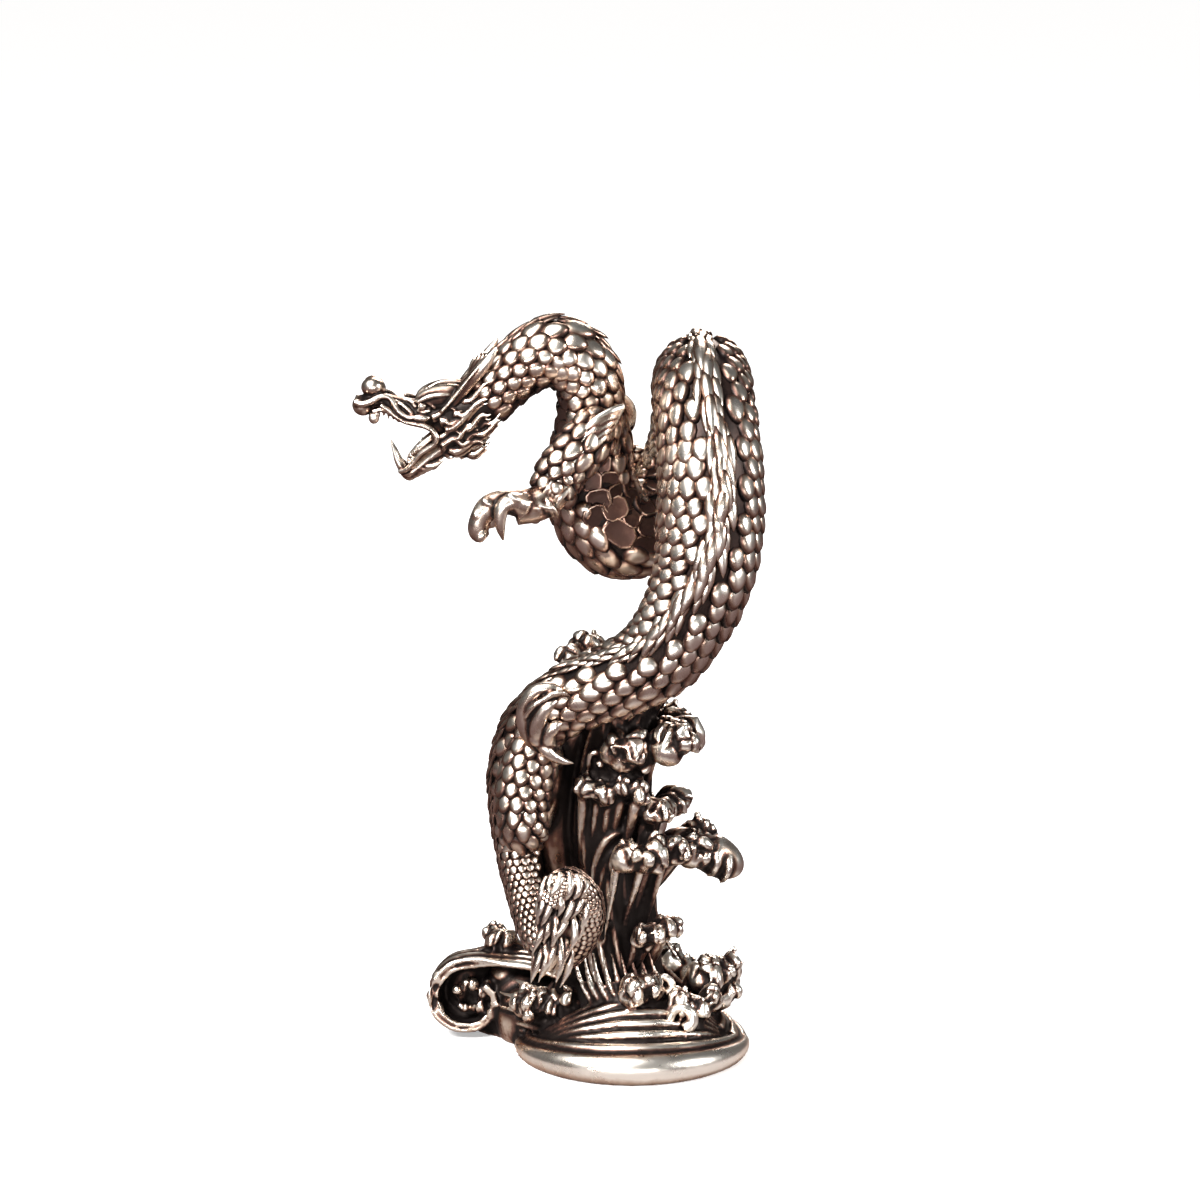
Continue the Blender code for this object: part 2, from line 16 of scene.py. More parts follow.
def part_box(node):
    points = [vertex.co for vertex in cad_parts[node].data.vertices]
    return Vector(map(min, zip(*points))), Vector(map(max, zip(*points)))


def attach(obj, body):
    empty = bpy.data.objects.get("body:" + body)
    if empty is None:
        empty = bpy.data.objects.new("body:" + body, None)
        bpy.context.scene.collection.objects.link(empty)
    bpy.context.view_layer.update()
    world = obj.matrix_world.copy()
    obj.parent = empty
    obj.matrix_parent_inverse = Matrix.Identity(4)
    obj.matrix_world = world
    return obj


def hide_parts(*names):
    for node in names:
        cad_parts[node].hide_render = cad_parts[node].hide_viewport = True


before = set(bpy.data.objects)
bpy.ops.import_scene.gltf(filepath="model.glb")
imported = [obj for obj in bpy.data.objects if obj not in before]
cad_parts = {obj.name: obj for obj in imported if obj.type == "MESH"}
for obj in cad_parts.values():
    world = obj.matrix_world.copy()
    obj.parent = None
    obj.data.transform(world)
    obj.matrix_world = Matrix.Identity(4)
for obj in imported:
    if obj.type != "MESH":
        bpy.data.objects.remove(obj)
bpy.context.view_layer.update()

# Trunk
# The snake-like body under the scales, cast in one with the rest of the figure. It is a plain
# round core, a little deeper than it is wide, and only shows as the dark gaps between scales.

MM = 0.001
DEEPER = 1.04          # depth of the trunk over its width
TRUNK_CROWN = 0.16     # the trunk stays in the black of the patina

# x, y, z, radius in millimetres, then the direction of the back ridge
SPINE = [
    (-13.4, -1, 66, 2.3, (-0.4, 0, 0.9)),
    (-10.8, -1, 67, 2.5, (-0.6, 0, 0.8)),
    (-7.3, -0.6, 70.2, 2.7, (-0.6, 0, 0.8)),
    (-3.4, 0, 72, 3.1, (0, 0, 1)),
    (-0.7, 0.5, 69.9, 3, (0.8, 0, 0.6)),
    (-0.1, 1, 66.6, 2.9, (1, 0.1, 0.1)),
    (0.1, 1.4, 62.7, 3.6, (0.6, 0.8, 0)),
    (0.2, 1.6, 57.6, 4.2, (-0.5, 0.85, 0)),
    (2.4, 2, 53.8, 4.4, (-0.3, 0.9, -0.4)),
    (6.2, 4.4, 53.8, 4.5, (0.2, 0.9, -0.4)),
    (9.6, 8, 57, 4.6, (0.3, 1, -0.1)),
    (11.2, 9.6, 62.3, 4.6, (0, 1, 0.1)),
    (11.2, 6.7, 66.8, 4.5, (0, 0.8, 0.6)),
    (11.2, 1.8, 68.4, 4.4, (0, 0, 1)),
    (11.4, -3.4, 66.5, 4.5, (0.1, -0.8, 0.6)),
    (11.8, -5.8, 61.5, 4.7, (0.3, -0.95, 0.1)),
    (11.8, -6.6, 55.6, 4.8, (0.2, -0.95, 0)),
    (11.2, -7, 51.2, 4.5, (0, -1, 0.1)),
    (9.4, -7, 46.6, 4.1, (-0.2, -0.9, 0.3)),
    (6.6, -6.6, 42.6, 3.7, (-0.1, -0.8, 0.6)),
    (2.4, -5.6, 39.9, 3.3, (0, -0.5, 0.8)),
    (-2, -4.2, 37.7, 3, (-0.4, -0.3, 0.9)),
    (-5.4, -2.4, 34.4, 2.8, (-0.9, -0.2, 0.5)),
    (-7.1, -0.6, 29.8, 2.6, (-1, -0.2, 0)),
    (-7.3, 0, 25.4, 2.4, (-1, -0.2, 0)),
    (-7, -0.3, 20.9, 2.1, (-1, -0.1, -0.1)),
    (-6.3, -1.8, 16.8, 1.8, (-1, 0, -0.2)),
    (-5, -4.6, 13.2, 1.6, (-0.8, -0.2, -0.6)),
    (-2.6, -6.5, 12.2, 1.5, (0, -0.3, -1)),
    (-0.5, -7.5, 14.9, 1.4, (1, 0, 0)),
    (-0.4, -8.1, 18.1, 1.35, (1, 0, 0.3)),
    (-2.4, -8.6, 20, 1.3, (0, 0, 1)),
    (-4.2, -9, 18, 1.2, (-1, 0, 0)),
]


def unit(vector):
    vector = np.asarray(vector, float)
    return vector / np.linalg.norm(vector)


def smooth(rows, steps):
    """Catmull-Rom curve through rows of numbers, with steps samples on each span."""
    rows = np.asarray(rows, float)
    ends = np.vstack([2 * rows[0] - rows[1], rows, 2 * rows[-1] - rows[-2]])
    curve = []
    for a, b, c, d in zip(ends, ends[1:], ends[2:], ends[3:]):
        for t in np.arange(steps) / steps:
            bend = (2 * a - 5 * b + 4 * c - d) * t**2 + (3 * b - a - 3 * c + d) * t**3
            curve.append(0.5 * (2 * b + (c - a) * t + bend))
    return np.array(curve + [rows[-1]])


def framed(rows, steps):
    """Centre, radius, way along, back and flank at each step of rows with a back direction."""
    path = smooth([(*row[:4], *unit(row[4])) for row in rows], steps)
    frames = []
    for row, way in zip(path, np.gradient(path[:, :3], axis=0)):
        way = unit(way)
        back = unit(row[4:7] - way * (row[4:7] @ way))
        frames.append((row[:3], row[3], way, back, np.cross(way, back)))
    return frames


def placed(name, content):
    """New object at the origin that holds a mesh, a light or a camera."""
    made = bpy.data.objects.new(name, content)
    bpy.context.scene.collection.objects.link(made)
    return made


def points_of(mesh):
    """Vertex places and normals of a mesh as arrays."""
    places = np.empty(len(mesh.vertices) * 3, np.float32)
    normals = np.empty(len(mesh.vertices) * 3, np.float32)
    mesh.vertices.foreach_get("co", places)
    mesh.vertex_normals.foreach_get("vector", normals)
    return places.reshape(-1, 3).astype(float), normals.reshape(-1, 3).astype(float)


def move_points(mesh, places):
    mesh.vertices.foreach_set("co", places.astype(np.float32).ravel())
    mesh.update()


def write_attribute(mesh, name, values):
    layer = mesh.attributes.get(name) or mesh.attributes.new(name, "FLOAT", "POINT")
    layer.data.foreach_set("value", np.ascontiguousarray(values, np.float32))


class Wax:
    """Closed shapes in millimetres, gathered in one mesh before they are fused."""

    def __init__(self):
        self.points, self.faces, self.count = [], [], 0
        self.spots = []

    def rings(self, centres, broad, across, sides):
        """Skin through one ellipse at each centre, with half axes broad and across."""
        turn = 2 * pi * np.arange(sides) / sides
        circle = np.stack((np.cos(turn), np.sin(turn)))
        axes = np.stack((np.asarray(broad, float), np.asarray(across, float)))
        skin = np.asarray(centres, float)[:, None] + np.einsum("as,ark->rsk", circle, axes)
        count, start = len(centres), self.count
        for r in range(count - 1):
            near, far = start + r * sides, start + (r + 1) * sides
            for s in range(sides):
                after = (s + 1) % sides
                self.faces.append((near + s, near + after, far + after, far + s))
        self.faces.append(tuple(start + s for s in reversed(range(sides))))
        self.faces.append(tuple(start + (count - 1) * sides + s for s in range(sides)))
        self.points.append(skin.reshape(-1, 3))
        self.count += count * sides

    def tube(self, rows, sides=8, steps=4, flat=1.0, thin=(0.0, 1.0, 0.0)):
        """Tube through rows of x, y, z, radius. It is flattened to the share flat along thin."""
        path = smooth(rows, steps)
        centres, radii = path[:, :3], np.maximum(path[:, 3], 0.05)
        across = np.asarray(thin, float)
        broad_axes, thin_axes = [], []
        for way, radius in zip(np.gradient(centres, axis=0), radii):
            way = unit(way)
            across = across - way * (across @ way)
            if np.linalg.norm(across) < 1e-3:
                across = np.cross(way, (0.3, 0.5, 0.8))
            across = unit(across)
            broad_axes.append(radius * np.cross(across, way))
            thin_axes.append(radius * flat * across)
        self.rings(centres, broad_axes, thin_axes, sides)

    def ball(self, centre, radii, lift=0.0, sides=20):
        """Ellipsoid whose X radius is tipped up by lift degrees in the XZ plane."""
        tip = radians(lift)
        long = np.array((cos(tip), 0.0, sin(tip)))
        tall = np.array((-sin(tip), 0.0, cos(tip)))
        side = np.array((0.0, 1.0, 0.0))
        bands = np.linspace(0.06, pi - 0.06, sides * 2 // 3)
        self.rings([np.asarray(centre) + tall * radii[2] * -cos(band) for band in bands],
                   [long * radii[0] * sin(band) for band in bands],
                   [side * radii[1] * sin(band) for band in bands], sides)

    def piece(self, name):
        """The gathered shapes as an object in metres, with nothing under the ground."""
        points = np.vstack(self.points)
        points[:, 2] = np.maximum(points[:, 2], 0.0)
        mesh = bpy.data.meshes.new(name)
        mesh.from_pydata((points * MM).tolist(), [], self.faces)
        return placed(name, mesh)

    def fused(self, name, grain, polish=1):
        """The gathered shapes melted into one skin, with facets of the size grain."""
        piece = self.piece(name)
        skin = piece.modifiers.new("skin", "REMESH")
        skin.mode = "VOXEL"
        skin.voxel_size = grain * MM
        rub = piece.modifiers.new("rub", "SMOOTH")
        rub.factor = 0.5
        rub.iterations = polish
        settle(piece)
        places, _ = points_of(piece.data)
        places[:, 2] = np.maximum(places[:, 2], 0.0)
        move_points(piece.data, places)
        if self.spots:
            self.break_up(piece.data)
        return piece

    def break_up(self, mesh):
        """Breaks the spots of foam up into knobs of random sizes, with creases between them."""
        places, normals = points_of(mesh)
        reach = np.zeros(len(places))
        for centre, radius in self.spots:
            away = np.linalg.norm(places / MM - centre, axis=1)
            reach = np.maximum(reach, np.clip(3 * (1 - away / radius), 0, 1))
        rough = np.flatnonzero(reach)
        seeds = np.random.default_rng(7).choice(rough, len(rough) // KNOB_POINTS, replace=False)
        tree = KDTree(len(seeds))
        longer = np.array((1.0, 1.0, KNOB_SQUAT))
        for n in seeds:
            tree.insert(places[n] * longer, n)
        tree.balance()
        for n in rough:
            (_, _, first), (_, _, second) = tree.find_n(places[n] * longer, 2)
            crease = max(0.0, 1.0 - (second - first) / CREASE_WIDTH)
            places[n] -= normals[n] * (CREASE_DEPTH * crease**2 - KNOB_RISE * (1 - crease)) * reach[n]
        move_points(mesh, places)


# The metal: yellow brass that was dipped in a black patina and then polished, so the crests are
# bare and the hollows stay near black. Every piece of the figure takes it.


class Socket:
    """One output of a node. Sums, differences and products of sockets add their Math nodes."""

    def __init__(self, owner, link):
        self.owner, self.link = owner, link

    def maths(self, operation, *values):
        return self.owner.node("ShaderNodeMath", {"operation": operation}, dict(enumerate(values)))

    def __add__(self, other):
        return self.maths("ADD", self, other)

    def __radd__(self, other):
        return self.maths("ADD", other, self)

    def __sub__(self, other):
        return self.maths("SUBTRACT", self, other)

    def __rsub__(self, other):
        return self.maths("SUBTRACT", other, self)

    def __mul__(self, other):
        return self.maths("MULTIPLY", self, other)

    def __rmul__(self, other):
        return self.maths("MULTIPLY", other, self)

    def step(self, low, high):
        """Smooth step from 0 at low to 1 at high."""
        return self.owner.node("ShaderNodeMapRange", {"interpolation_type": "SMOOTHSTEP"},
                               {"Value": self, "From Min": low, "From Max": high})


class Nodes:
    """A node tree whose nodes are all made by one method."""

    def __init__(self, tree):
        self.tree = tree

    def node(self, kind, settings, sockets, output=0):
        made = self.tree.nodes.new(kind)
        for key, value in settings.items():
            if key == "stops":
                ramp = made.color_ramp
                while len(ramp.elements) < len(value):
                    ramp.elements.new(1.0)
                for element, (place, colour) in zip(ramp.elements, value):
                    element.position, element.color = place, colour
            else:
                setattr(made, key, value)
        self.feed(made.inputs, sockets)
        return Socket(self, made.outputs[output])

    def feed(self, inputs, sockets):
        for key, value in sockets.items():
            if isinstance(value, Socket):
                self.tree.links.new(value.link, inputs[key])
            else:
                inputs[key].default_value = value


class Finish(Nodes):
    """A material and its shader."""

    def __init__(self, name):
        self.material = bpy.data.materials.new(name)
        self.material.use_nodes = True
        super().__init__(self.material.node_tree)
        self.shader = self.tree.nodes["Principled BSDF"]


PATINA = (0.007, 0.005, 0.005, 1.0)
UMBER = (0.060, 0.032, 0.026, 1.0)
BRONZE = (0.25, 0.140, 0.108, 1.0)
BRASS = (0.60, 0.46, 0.36, 1.0)
PALE = (0.96, 0.89, 0.80, 1.0)
CLOUD_SCALE, GRAIN_SCALE = 420.0, 2600.0        # patches of 2 mm, and the skin of the casting
PIT_DEPTH = 0.00008
GAIN_FROM_X, GAIN_TO_X = -0.010, 0.012        # x where the metal starts to grow lighter towards +X, and where that is full

metal = Finish("patinated_brass")
place = metal.node("ShaderNodeTexCoord", {}, {}, "Object")
crown = metal.node("ShaderNodeAttribute", {"attribute_name": "crown"}, {}, "Fac")
sheltered = metal.node("ShaderNodeAttribute", {"attribute_name": "sheltered"}, {}, "Fac")
cloud = metal.node("ShaderNodeTexNoise", {},
                   {"Vector": place, "Scale": CLOUD_SCALE, "Detail": 4.0}) - 0.5
grain = metal.node("ShaderNodeTexNoise", {}, {"Vector": place, "Scale": GRAIN_SCALE, "Detail": 3.0})
# The metal grows lighter towards +X, the viewer's right, set by x alone.
right_side_gain = metal.node("ShaderNodeSeparateXYZ", {}, {"Vector": place}, "X").step(GAIN_FROM_X, GAIN_TO_X)
facing = metal.node("ShaderNodeNewGeometry", {}, {}, "Normal")
# under: how far a face turns downwards. It darkens the metal there as painted shade on the undersides;
# it is not patina.
under = (0.0 - metal.node("ShaderNodeSeparateXYZ", {}, {"Vector": facing}, "Z")).step(0.1, 0.9)
bare = (crown - 0.75 * sheltered + 0.30 * cloud + 0.06 * (grain - 0.5)
        + 0.13 * right_side_gain - 0.28 * under - 0.07)
# The step of bare below holds the bare brass and also the painted underside shade, and carries that
# painted shade into the metal's colour, metallic and roughness.
polish_and_shade = bare.step(0.25, 0.6)
metal.feed(metal.shader.inputs, {
    "Base Color": metal.node("ShaderNodeValToRGB", {"stops": [
        (0.18, PATINA), (0.42, UMBER), (0.62, BRONZE), (0.82, BRASS), (1.0, PALE)]}, {"Fac": bare}),
    "Metallic": 0.55 + 0.45 * polish_and_shade,
    "Roughness": 0.42 - 0.14 * polish_and_shade + 0.14 * cloud + 0.2 * sheltered,
    "Normal": metal.node("ShaderNodeBump", {},
                         {"Height": grain, "Strength": 0.16, "Distance": PIT_DEPTH}),
    "Specular Tint": (1.0, 0.82, 0.72, 1.0),
    "Specular IOR Level": 0.35})

SHELTER_CELL = 0.0005          # cells of the grid that tells open from closed
SHELTER_REACH = 0.0011         # how far off its surface a point looks for other metal
OPEN, CLOSED = 0.24, 0.66      # share of metal there that counts as open and as closed in


def cast_grid(cell):
    """Grid of cells, 1 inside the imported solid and 0 outside, blurred over its neighbours."""
    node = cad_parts["dragon_on_waves"]
    tree = BVHTree.FromPolygons([v.co for v in node.data.vertices],
                                [p.vertices for p in node.data.polygons])
    low, high = (np.array(corner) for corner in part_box("dragon_on_waves"))
    low, high = low - 8 * cell, high + 8 * cell
    shape = np.ceil((high - low) / cell).astype(int)
    filled = np.zeros(shape, np.float32)
    for i in range(shape[0]):
        for j in range(shape[1]):
            # Off the middle of the cell, so that no ray runs along an edge of the solid
            here = Vector((low[0] + (i + 0.47) * cell, low[1] + (j + 0.53) * cell, low[2]))
            heights = []
            while (hit := tree.ray_cast(here, Vector((0, 0, 1)))[0]) is not None:
                heights.append(hit.z)
                here = Vector((here.x, here.y, hit.z + 1e-6))
            for bottom, top in zip(heights[::2], heights[1::2]):
                first, last = ((np.array((bottom, top)) - low[2]) / cell).round().astype(int)
                filled[i, j, first:last] = 1.0
    for _ in range(3):
        for axis in range(3):
            filled = sum(np.roll(filled, n, axis) for n in range(-2, 3)) / 5
    return low, filled


GRID_LOW, GRID = cast_grid(SHELTER_CELL)


def hand_over(piece):
    """Finishes a piece: shelter, smooth faces, metal, and its place in the casting."""
    mesh = piece.data
    places, normals = points_of(mesh)
    cells = ((places + normals * SHELTER_REACH - GRID_LOW) / SHELTER_CELL).astype(int)
    near = GRID[tuple(np.clip(cells, 0, np.array(GRID.shape) - 1).T)]
    write_attribute(mesh, "sheltered", np.clip((near - OPEN) / (CLOSED - OPEN), 0, 1))
    mesh.polygons.foreach_set("use_smooth", np.ones(len(mesh.polygons), bool))
    mesh.materials.clear()
    mesh.materials.append(metal.material)
    mesh.update()
    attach(piece, "root")
    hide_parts("dragon_on_waves")


wax = Wax()            # the wax of the piece in hand
trunk_rows = framed(SPINE, 10)
wax.rings([centre for centre, *_ in trunk_rows],
          [radius * DEEPER * back for _, radius, _, back, _ in trunk_rows],
          [radius * flank for _, radius, _, _, flank in trunk_rows], 36)
trunk = wax.piece("trunk")
write_attribute(trunk.data, "crown", np.full(len(trunk.data.vertices), TRUNK_CROWN))
hand_over(trunk)

# Scales
# Domed scales in staggered rows down both flanks, each with its free tip towards the tail. They
# are carved proud of the trunk, so each crown is polished and each edge keeps its black outline.

LARGEST_SCALE = 1.95   # width of a scale on the arch, mm
SCALE_SHARE = 0.62     # width of a scale over the radius of a body 3 mm in radius


def closed(name, loops):
    """Tool with a closed skin through loops of corners, each of x, y, z and crown."""
    shape = bmesh.new()
    crown_layer = shape.verts.layers.float.new("crown")
    rings = []
    for loop in loops:
        rings.append([shape.verts.new(corner[:3]) for corner in loop])
        for vert, corner in zip(rings[-1], loop):
            vert[crown_layer] = corner[3]
    for low, high in zip(rings, rings[1:]):
        for n in range(len(low)):
            after = (n + 1) % len(low)
            shape.faces.new((low[n], low[after], high[after], high[n]))
    shape.faces.new(rings[-1])
    shape.faces.new(rings[0][::-1])
    bmesh.ops.triangulate(shape, faces=[face for face in shape.faces if len(face.verts) > 4])
    bmesh.ops.recalc_face_normals(shape, faces=shape.faces[:])
    mesh = bpy.data.meshes.new(name)
    shape.to_mesh(mesh)
    shape.free()
    return placed(name, mesh)


def low_dome(name, rings, outline, sides, slope=0.0):
    """Dome through rings of size, rise and crown, on a closed outline of the angle."""
    corners = [outline(2 * pi * n / sides) for n in range(sides)]
    return closed(name, [[(x * size, y * size, rise + slope * x * size, bare) for x, y in corners]
                         for size, rise, bare in rings])


def rows_on_seats():
    """Geometry Nodes tree that sets a pattern on every seat, turned and sized by attributes."""
    rows = Nodes(bpy.data.node_groups.new("carved rows", "GeometryNodeTree"))
    for name, kind in (("Seats", "Geometry"), ("Pattern", "Object"), ("Uneven size", "Float"),
                       ("Uneven turn", "Float"), ("Seed", "Int"), ("Metal", "Material")):
        rows.tree.interface.new_socket(name, in_out="INPUT", socket_type="NodeSocket" + kind)
    rows.tree.interface.new_socket("Carving", in_out="OUTPUT", socket_type="NodeSocketGeometry")

    def given(name):
        return rows.node("NodeGroupInput", {}, {}, name)

    def read(name):
        return rows.node("GeometryNodeInputNamedAttribute", {"data_type": "FLOAT_VECTOR"},
                         {"Name": name})

    def scaled(vector, factor):
        return rows.node("ShaderNodeVectorMath", {"operation": "SCALE"}, {0: vector, "Scale": factor})

    turned = rows.node("FunctionNodeAlignRotationToVector", {"axis": "Z"}, {"Vector": read("outward")})
    turned = rows.node("FunctionNodeAlignRotationToVector", {"axis": "X", "pivot_axis": "Z"},
                       {"Rotation": turned, "Vector": read("tailward")})
    wobble = rows.node("FunctionNodeRandomValue", {"data_type": "FLOAT_VECTOR"},
                       {0: scaled((-1.0, -1.0, -1.0), given("Uneven turn")),
                        1: scaled((1.0, 1.0, 1.0), given("Uneven turn")), "Seed": given("Seed")})
    turned = rows.node("FunctionNodeRotateRotation", {"rotation_space": "LOCAL"},
                       {"Rotation": turned,
                        "Rotate By": rows.node("FunctionNodeEulerToRotation", {}, {0: wobble})})
    odd = rows.node("FunctionNodeRandomValue", {"data_type": "FLOAT"},
                    {2: 1.0 - given("Uneven size"), 3: 1.0 + given("Uneven size"),
                     "Seed": given("Seed")}, 1)
    shape = rows.node("GeometryNodeObjectInfo", {}, {"Object": given("Pattern")}, "Geometry")
    set_out = rows.node("GeometryNodeInstanceOnPoints", {},
                        {"Points": given("Seats"), "Instance": shape, "Rotation": turned,
                         "Scale": scaled(read("size"), odd)})
    real = rows.node("GeometryNodeRealizeInstances", {}, {"Geometry": set_out})
    dressed = rows.node("GeometryNodeSetMaterial", {}, {"Geometry": real, "Material": given("Metal")})
    rows.tree.links.new(dressed.link, rows.tree.nodes.new("NodeGroupOutput").inputs[0])
    return rows.tree


CARVED_ROWS = rows_on_seats()


def settle(piece):
    """Turns a piece with its modifiers into a plain mesh."""
    graph = bpy.context.evaluated_depsgraph_get()
    mesh = bpy.data.meshes.new_from_object(piece.evaluated_get(graph))
    piece.modifiers.clear()
    piece.data = mesh


def carve(name, shape, seats, uneven_size, uneven_turn, seed):
    """Piece with one copy of shape on each seat of place, outward, tailward and size."""
    mesh = bpy.data.meshes.new(name)
    mesh.from_pydata([(np.asarray(seat[0]) * MM).tolist() for seat in seats], [], [])
    for n, layer in enumerate(("outward", "tailward", "size")):
        values = np.array([seat[n + 1] for seat in seats], np.float32)
        if layer == "size":
            values = values * MM
        mesh.attributes.new(layer, "FLOAT_VECTOR", "POINT").data.foreach_set("vector", values.ravel())
    piece = placed(name, mesh)
    rows = piece.modifiers.new("rows", "NODES")
    rows.node_group = CARVED_ROWS
    inputs = {item.name: item.identifier for item in CARVED_ROWS.interface.items_tree
              if item.in_out == "INPUT"}
    rows[inputs["Pattern"]] = shape
    rows[inputs["Uneven size"]] = uneven_size
    rows[inputs["Uneven turn"]] = uneven_turn
    rows[inputs["Seed"]] = seed
    rows[inputs["Metal"]] = metal.material
    settle(piece)
    hand_over(piece)


def scale_outline(angle):
    """Rounded shield with its tip towards the tail."""
    x, y = 0.5 * cos(angle), 0.5 * sin(angle)
    return x * 1.24 + 0.04, y * (1.0 - 0.22 * cos(angle)) * 1.04


scale = low_dome("scale", [(1.0, -0.22, 0.0), (0.95, 0.02, 0.16), (0.78, 0.20, 0.70),
                           (0.42, 0.30, 1.0)],
                 scale_outline, 12, 0.20)


def bend_at(frames, n, reach=18):
    """How sharply the way turns at frame n, as a vector towards the inside of the bend."""
    first, last = frames[max(n - reach, 0)], frames[min(n + reach, len(frames) - 1)]
    return (last[2] - first[2]) / max(np.linalg.norm(last[0] - first[0]), 0.1)


def rows_down(frames, from_back, to_belly, largest, share):
    """Staggered seats round a limb or the trunk, from near the back to near the belly."""
    seats, run, row = [], 0.0, 0
    for k, (before, (centre, radius, way, back, flank)) in enumerate(zip(frames, frames[1:])):
        run += np.linalg.norm(centre - before[0])
        width = min(largest, share * radius * sqrt(radius / 3.0))
        bend = bend_at(frames, k)
        tighter = 1.0 + 0.5 * radius * np.linalg.norm(bend)
        if run < 0.86 * width / tighter:
            continue
        run, row = 0.0, row + 1
        arc = radians(to_belly - from_back)
        count = max(2, round(arc * radius / (0.90 * width)))
        for side in (-1, 1):
            for n in range(count):
                angle = radians(from_back) + arc * (n + 0.5 * (row % 2)) / count
                up, out = cos(angle), side * sin(angle)
                place = centre + radius * (DEEPER * up * back + out * flank)
                outward = unit(up / DEEPER * back + out * flank)
                stretch = np.clip((1.0 - radius * (bend @ outward)) / tighter, 0.72, 1.6)
                seats.append((place, outward, way, (1.14 * width * stretch, 1.08 * width, width * 0.9)))
    return seats


FRAMES = 60            # frames on each span of the spine
NECK = 1               # span where the head ends and the scales start
spine_run = framed(SPINE, FRAMES)
body_seats = rows_down(spine_run[NECK * FRAMES:], 27, 146, LARGEST_SCALE, SCALE_SHARE)
carve("body_scales", scale, body_seats, 0.10, 0.07, 3)

# Belly plates
# Broad flat plates, three across, from the throat to the hips, carved in the same casting. Each
# keeps a bright worn rim round a brown middle, and the joints between them are black.

HIPS = 23              # span where the plates end
PLATE_PITCH = 0.44     # from row to row, as a share of the body's radius


def plate_outline(angle):
    """Square with rounded corners."""
    c, s = cos(angle), sin(angle)
    reach = 0.5 / (abs(c) ** 4 + abs(s) ** 4) ** 0.25
    return reach * c, reach * s


plate = low_dome("plate", [(1.0, -0.20, 0.0), (0.96, 0.07, 0.45), (0.88, 0.14, 0.80),
                           (0.76, 0.11, 0.42), (0.30, 0.12, 0.40)], plate_outline, 12)
plate_seats, run, row = [], 0.0, 0
throat_to_hip = spine_run[NECK * FRAMES:HIPS * FRAMES]
for k, (before, (centre, radius, way, back, flank)) in enumerate(zip(throat_to_hip, throat_to_hip[1:])):
    run += np.linalg.norm(centre - before[0])
    if run < PLATE_PITCH * radius:
        continue
    bend = bend_at(throat_to_hip, k)
    run, row = 0.0, row + 1
    for n in (-1, 0, 1):
        angle = radians(180 + 27 * n + (7 if row % 2 else -7))
        outward = cos(angle) * back + sin(angle) * flank
        stretch = np.clip(1.0 - radius * (bend @ outward), 0.8, 1.9)
        plate_seats.append((centre + radius * 1.01 * outward, outward, way,
                            (0.60 * radius * stretch, 0.62 * radius, 0.36 * radius)))
carve("belly_plates", plate, plate_seats, 0.14, 0.20, 8)

# Back fin
# Long flame-shaped strands that lie back over each other along the spine, three side by side and
# higher in the middle, carved in the same casting.

FIN_PITCH = 0.30       # from row to row, as a share of the body's radius
FIN_START = 50         # frame of the spine, in its first span, where the fin begins


def leaf(name, stations, sides):
    """Leaf from stations of x, half width, half thickness, height and crown."""
    turns = [2 * pi * n / sides for n in range(sides)]
    return closed(name, [[(x, wide * cos(turn), rise + thick * sin(turn),
                           bare * (0.35 + 0.65 * max(sin(turn), 0.0))) for turn in turns]
                         for x, wide, thick, rise, bare in stations])


strand = leaf("strand", [(-0.50, 0.05, 0.05, -0.10, 0.3), (-0.30, 0.13, 0.10, 0.00, 0.8),
                         (-0.05, 0.16, 0.12, 0.05, 1.0), (0.18, 0.13, 0.10, 0.08, 1.0),
                         (0.36, 0.08, 0.07, 0.09, 1.0), (0.50, 0.015, 0.015, 0.08, 0.9)], 8)
fin_seats, run, row = [], 0.0, 0
behind_head = spine_run[FIN_START:]
for k, (before, (centre, radius, way, back, flank)) in enumerate(zip(behind_head, behind_head[1:])):
    run += np.linalg.norm(centre - before[0])
    if run < FIN_PITCH * radius:
        continue
    bend = bend_at(spine_run, FIN_START + k)
    run, row = 0.0, row + 1
    for n in (-1, 0, 1):
        angle = radians(9.0 * n + 5.0 + 3.0 * sin(2.1 * row + n))
        outward = cos(angle) * back + sin(angle) * flank
        stretch = np.clip(1.0 - radius * (bend @ outward), 0.8, 1.25)
        lift = 1.05 + (0.06 if n == 0 else 0.0)
        lean = way + 0.10 * n * flank + 0.10 * sin(3.7 * row + 2 * n) * flank
        long = min(0.2 + 0.82 * radius, 0.75 * radius) * (1.15 if n == 0 else 1.0)
        tilt = 0.10 if radius > 3.5 else -0.03
        fin_seats.append((centre + radius * lift * outward, unit(outward + tilt * way), unit(lean),
                          (long * stretch, long * 1.05, long * 0.9)))
carve("back_fin", strand, fin_seats, 0.16, 0.10, 5)

# Legs and paws
# Forelegs that reach out from the shoulders and hind legs folded on the water. The feet are
# smooth bird-like toes with hooked claws, fused to wrinkled wrists, and the upper limbs are scaled.

FORE_NEAR = [(1.2, -1.6, 65.2, 1.9), (-0.4, -4.4, 63.6, 2.2), (-2.8, -4.9, 61, 2),
             (-3.9, -5.1, 58.8, 1.9), (-5.2, -6, 57.9, 1.75), (-7.3, -6.4, 57.6, 1.75)]
FORE_FAR = [(2.8, 4.4, 65.4, 2.2), (1, 7.4, 63, 2.1), (1.6, 9.6, 60.2, 1.8), (4.2, 11.2, 58.6, 1.6),
            (6, 11.9, 58.2, 1.3)]
HIND_NEAR = [(-5, -3.6, 33.6, 2.4), (-6.6, -4.6, 28.6, 2.4), (-6.6, -5, 24.6, 2),
             (-5.4, -3.2, 23.8, 1.5)]
HIND_FAR = [(-3.4, 0, 34.6, 2.6), (-2.8, 4.2, 31, 2.5), (-2, 6.6, 27.4, 2), (0, 7, 28.4, 1.6),
            (1.2, 6, 31, 1.3)]


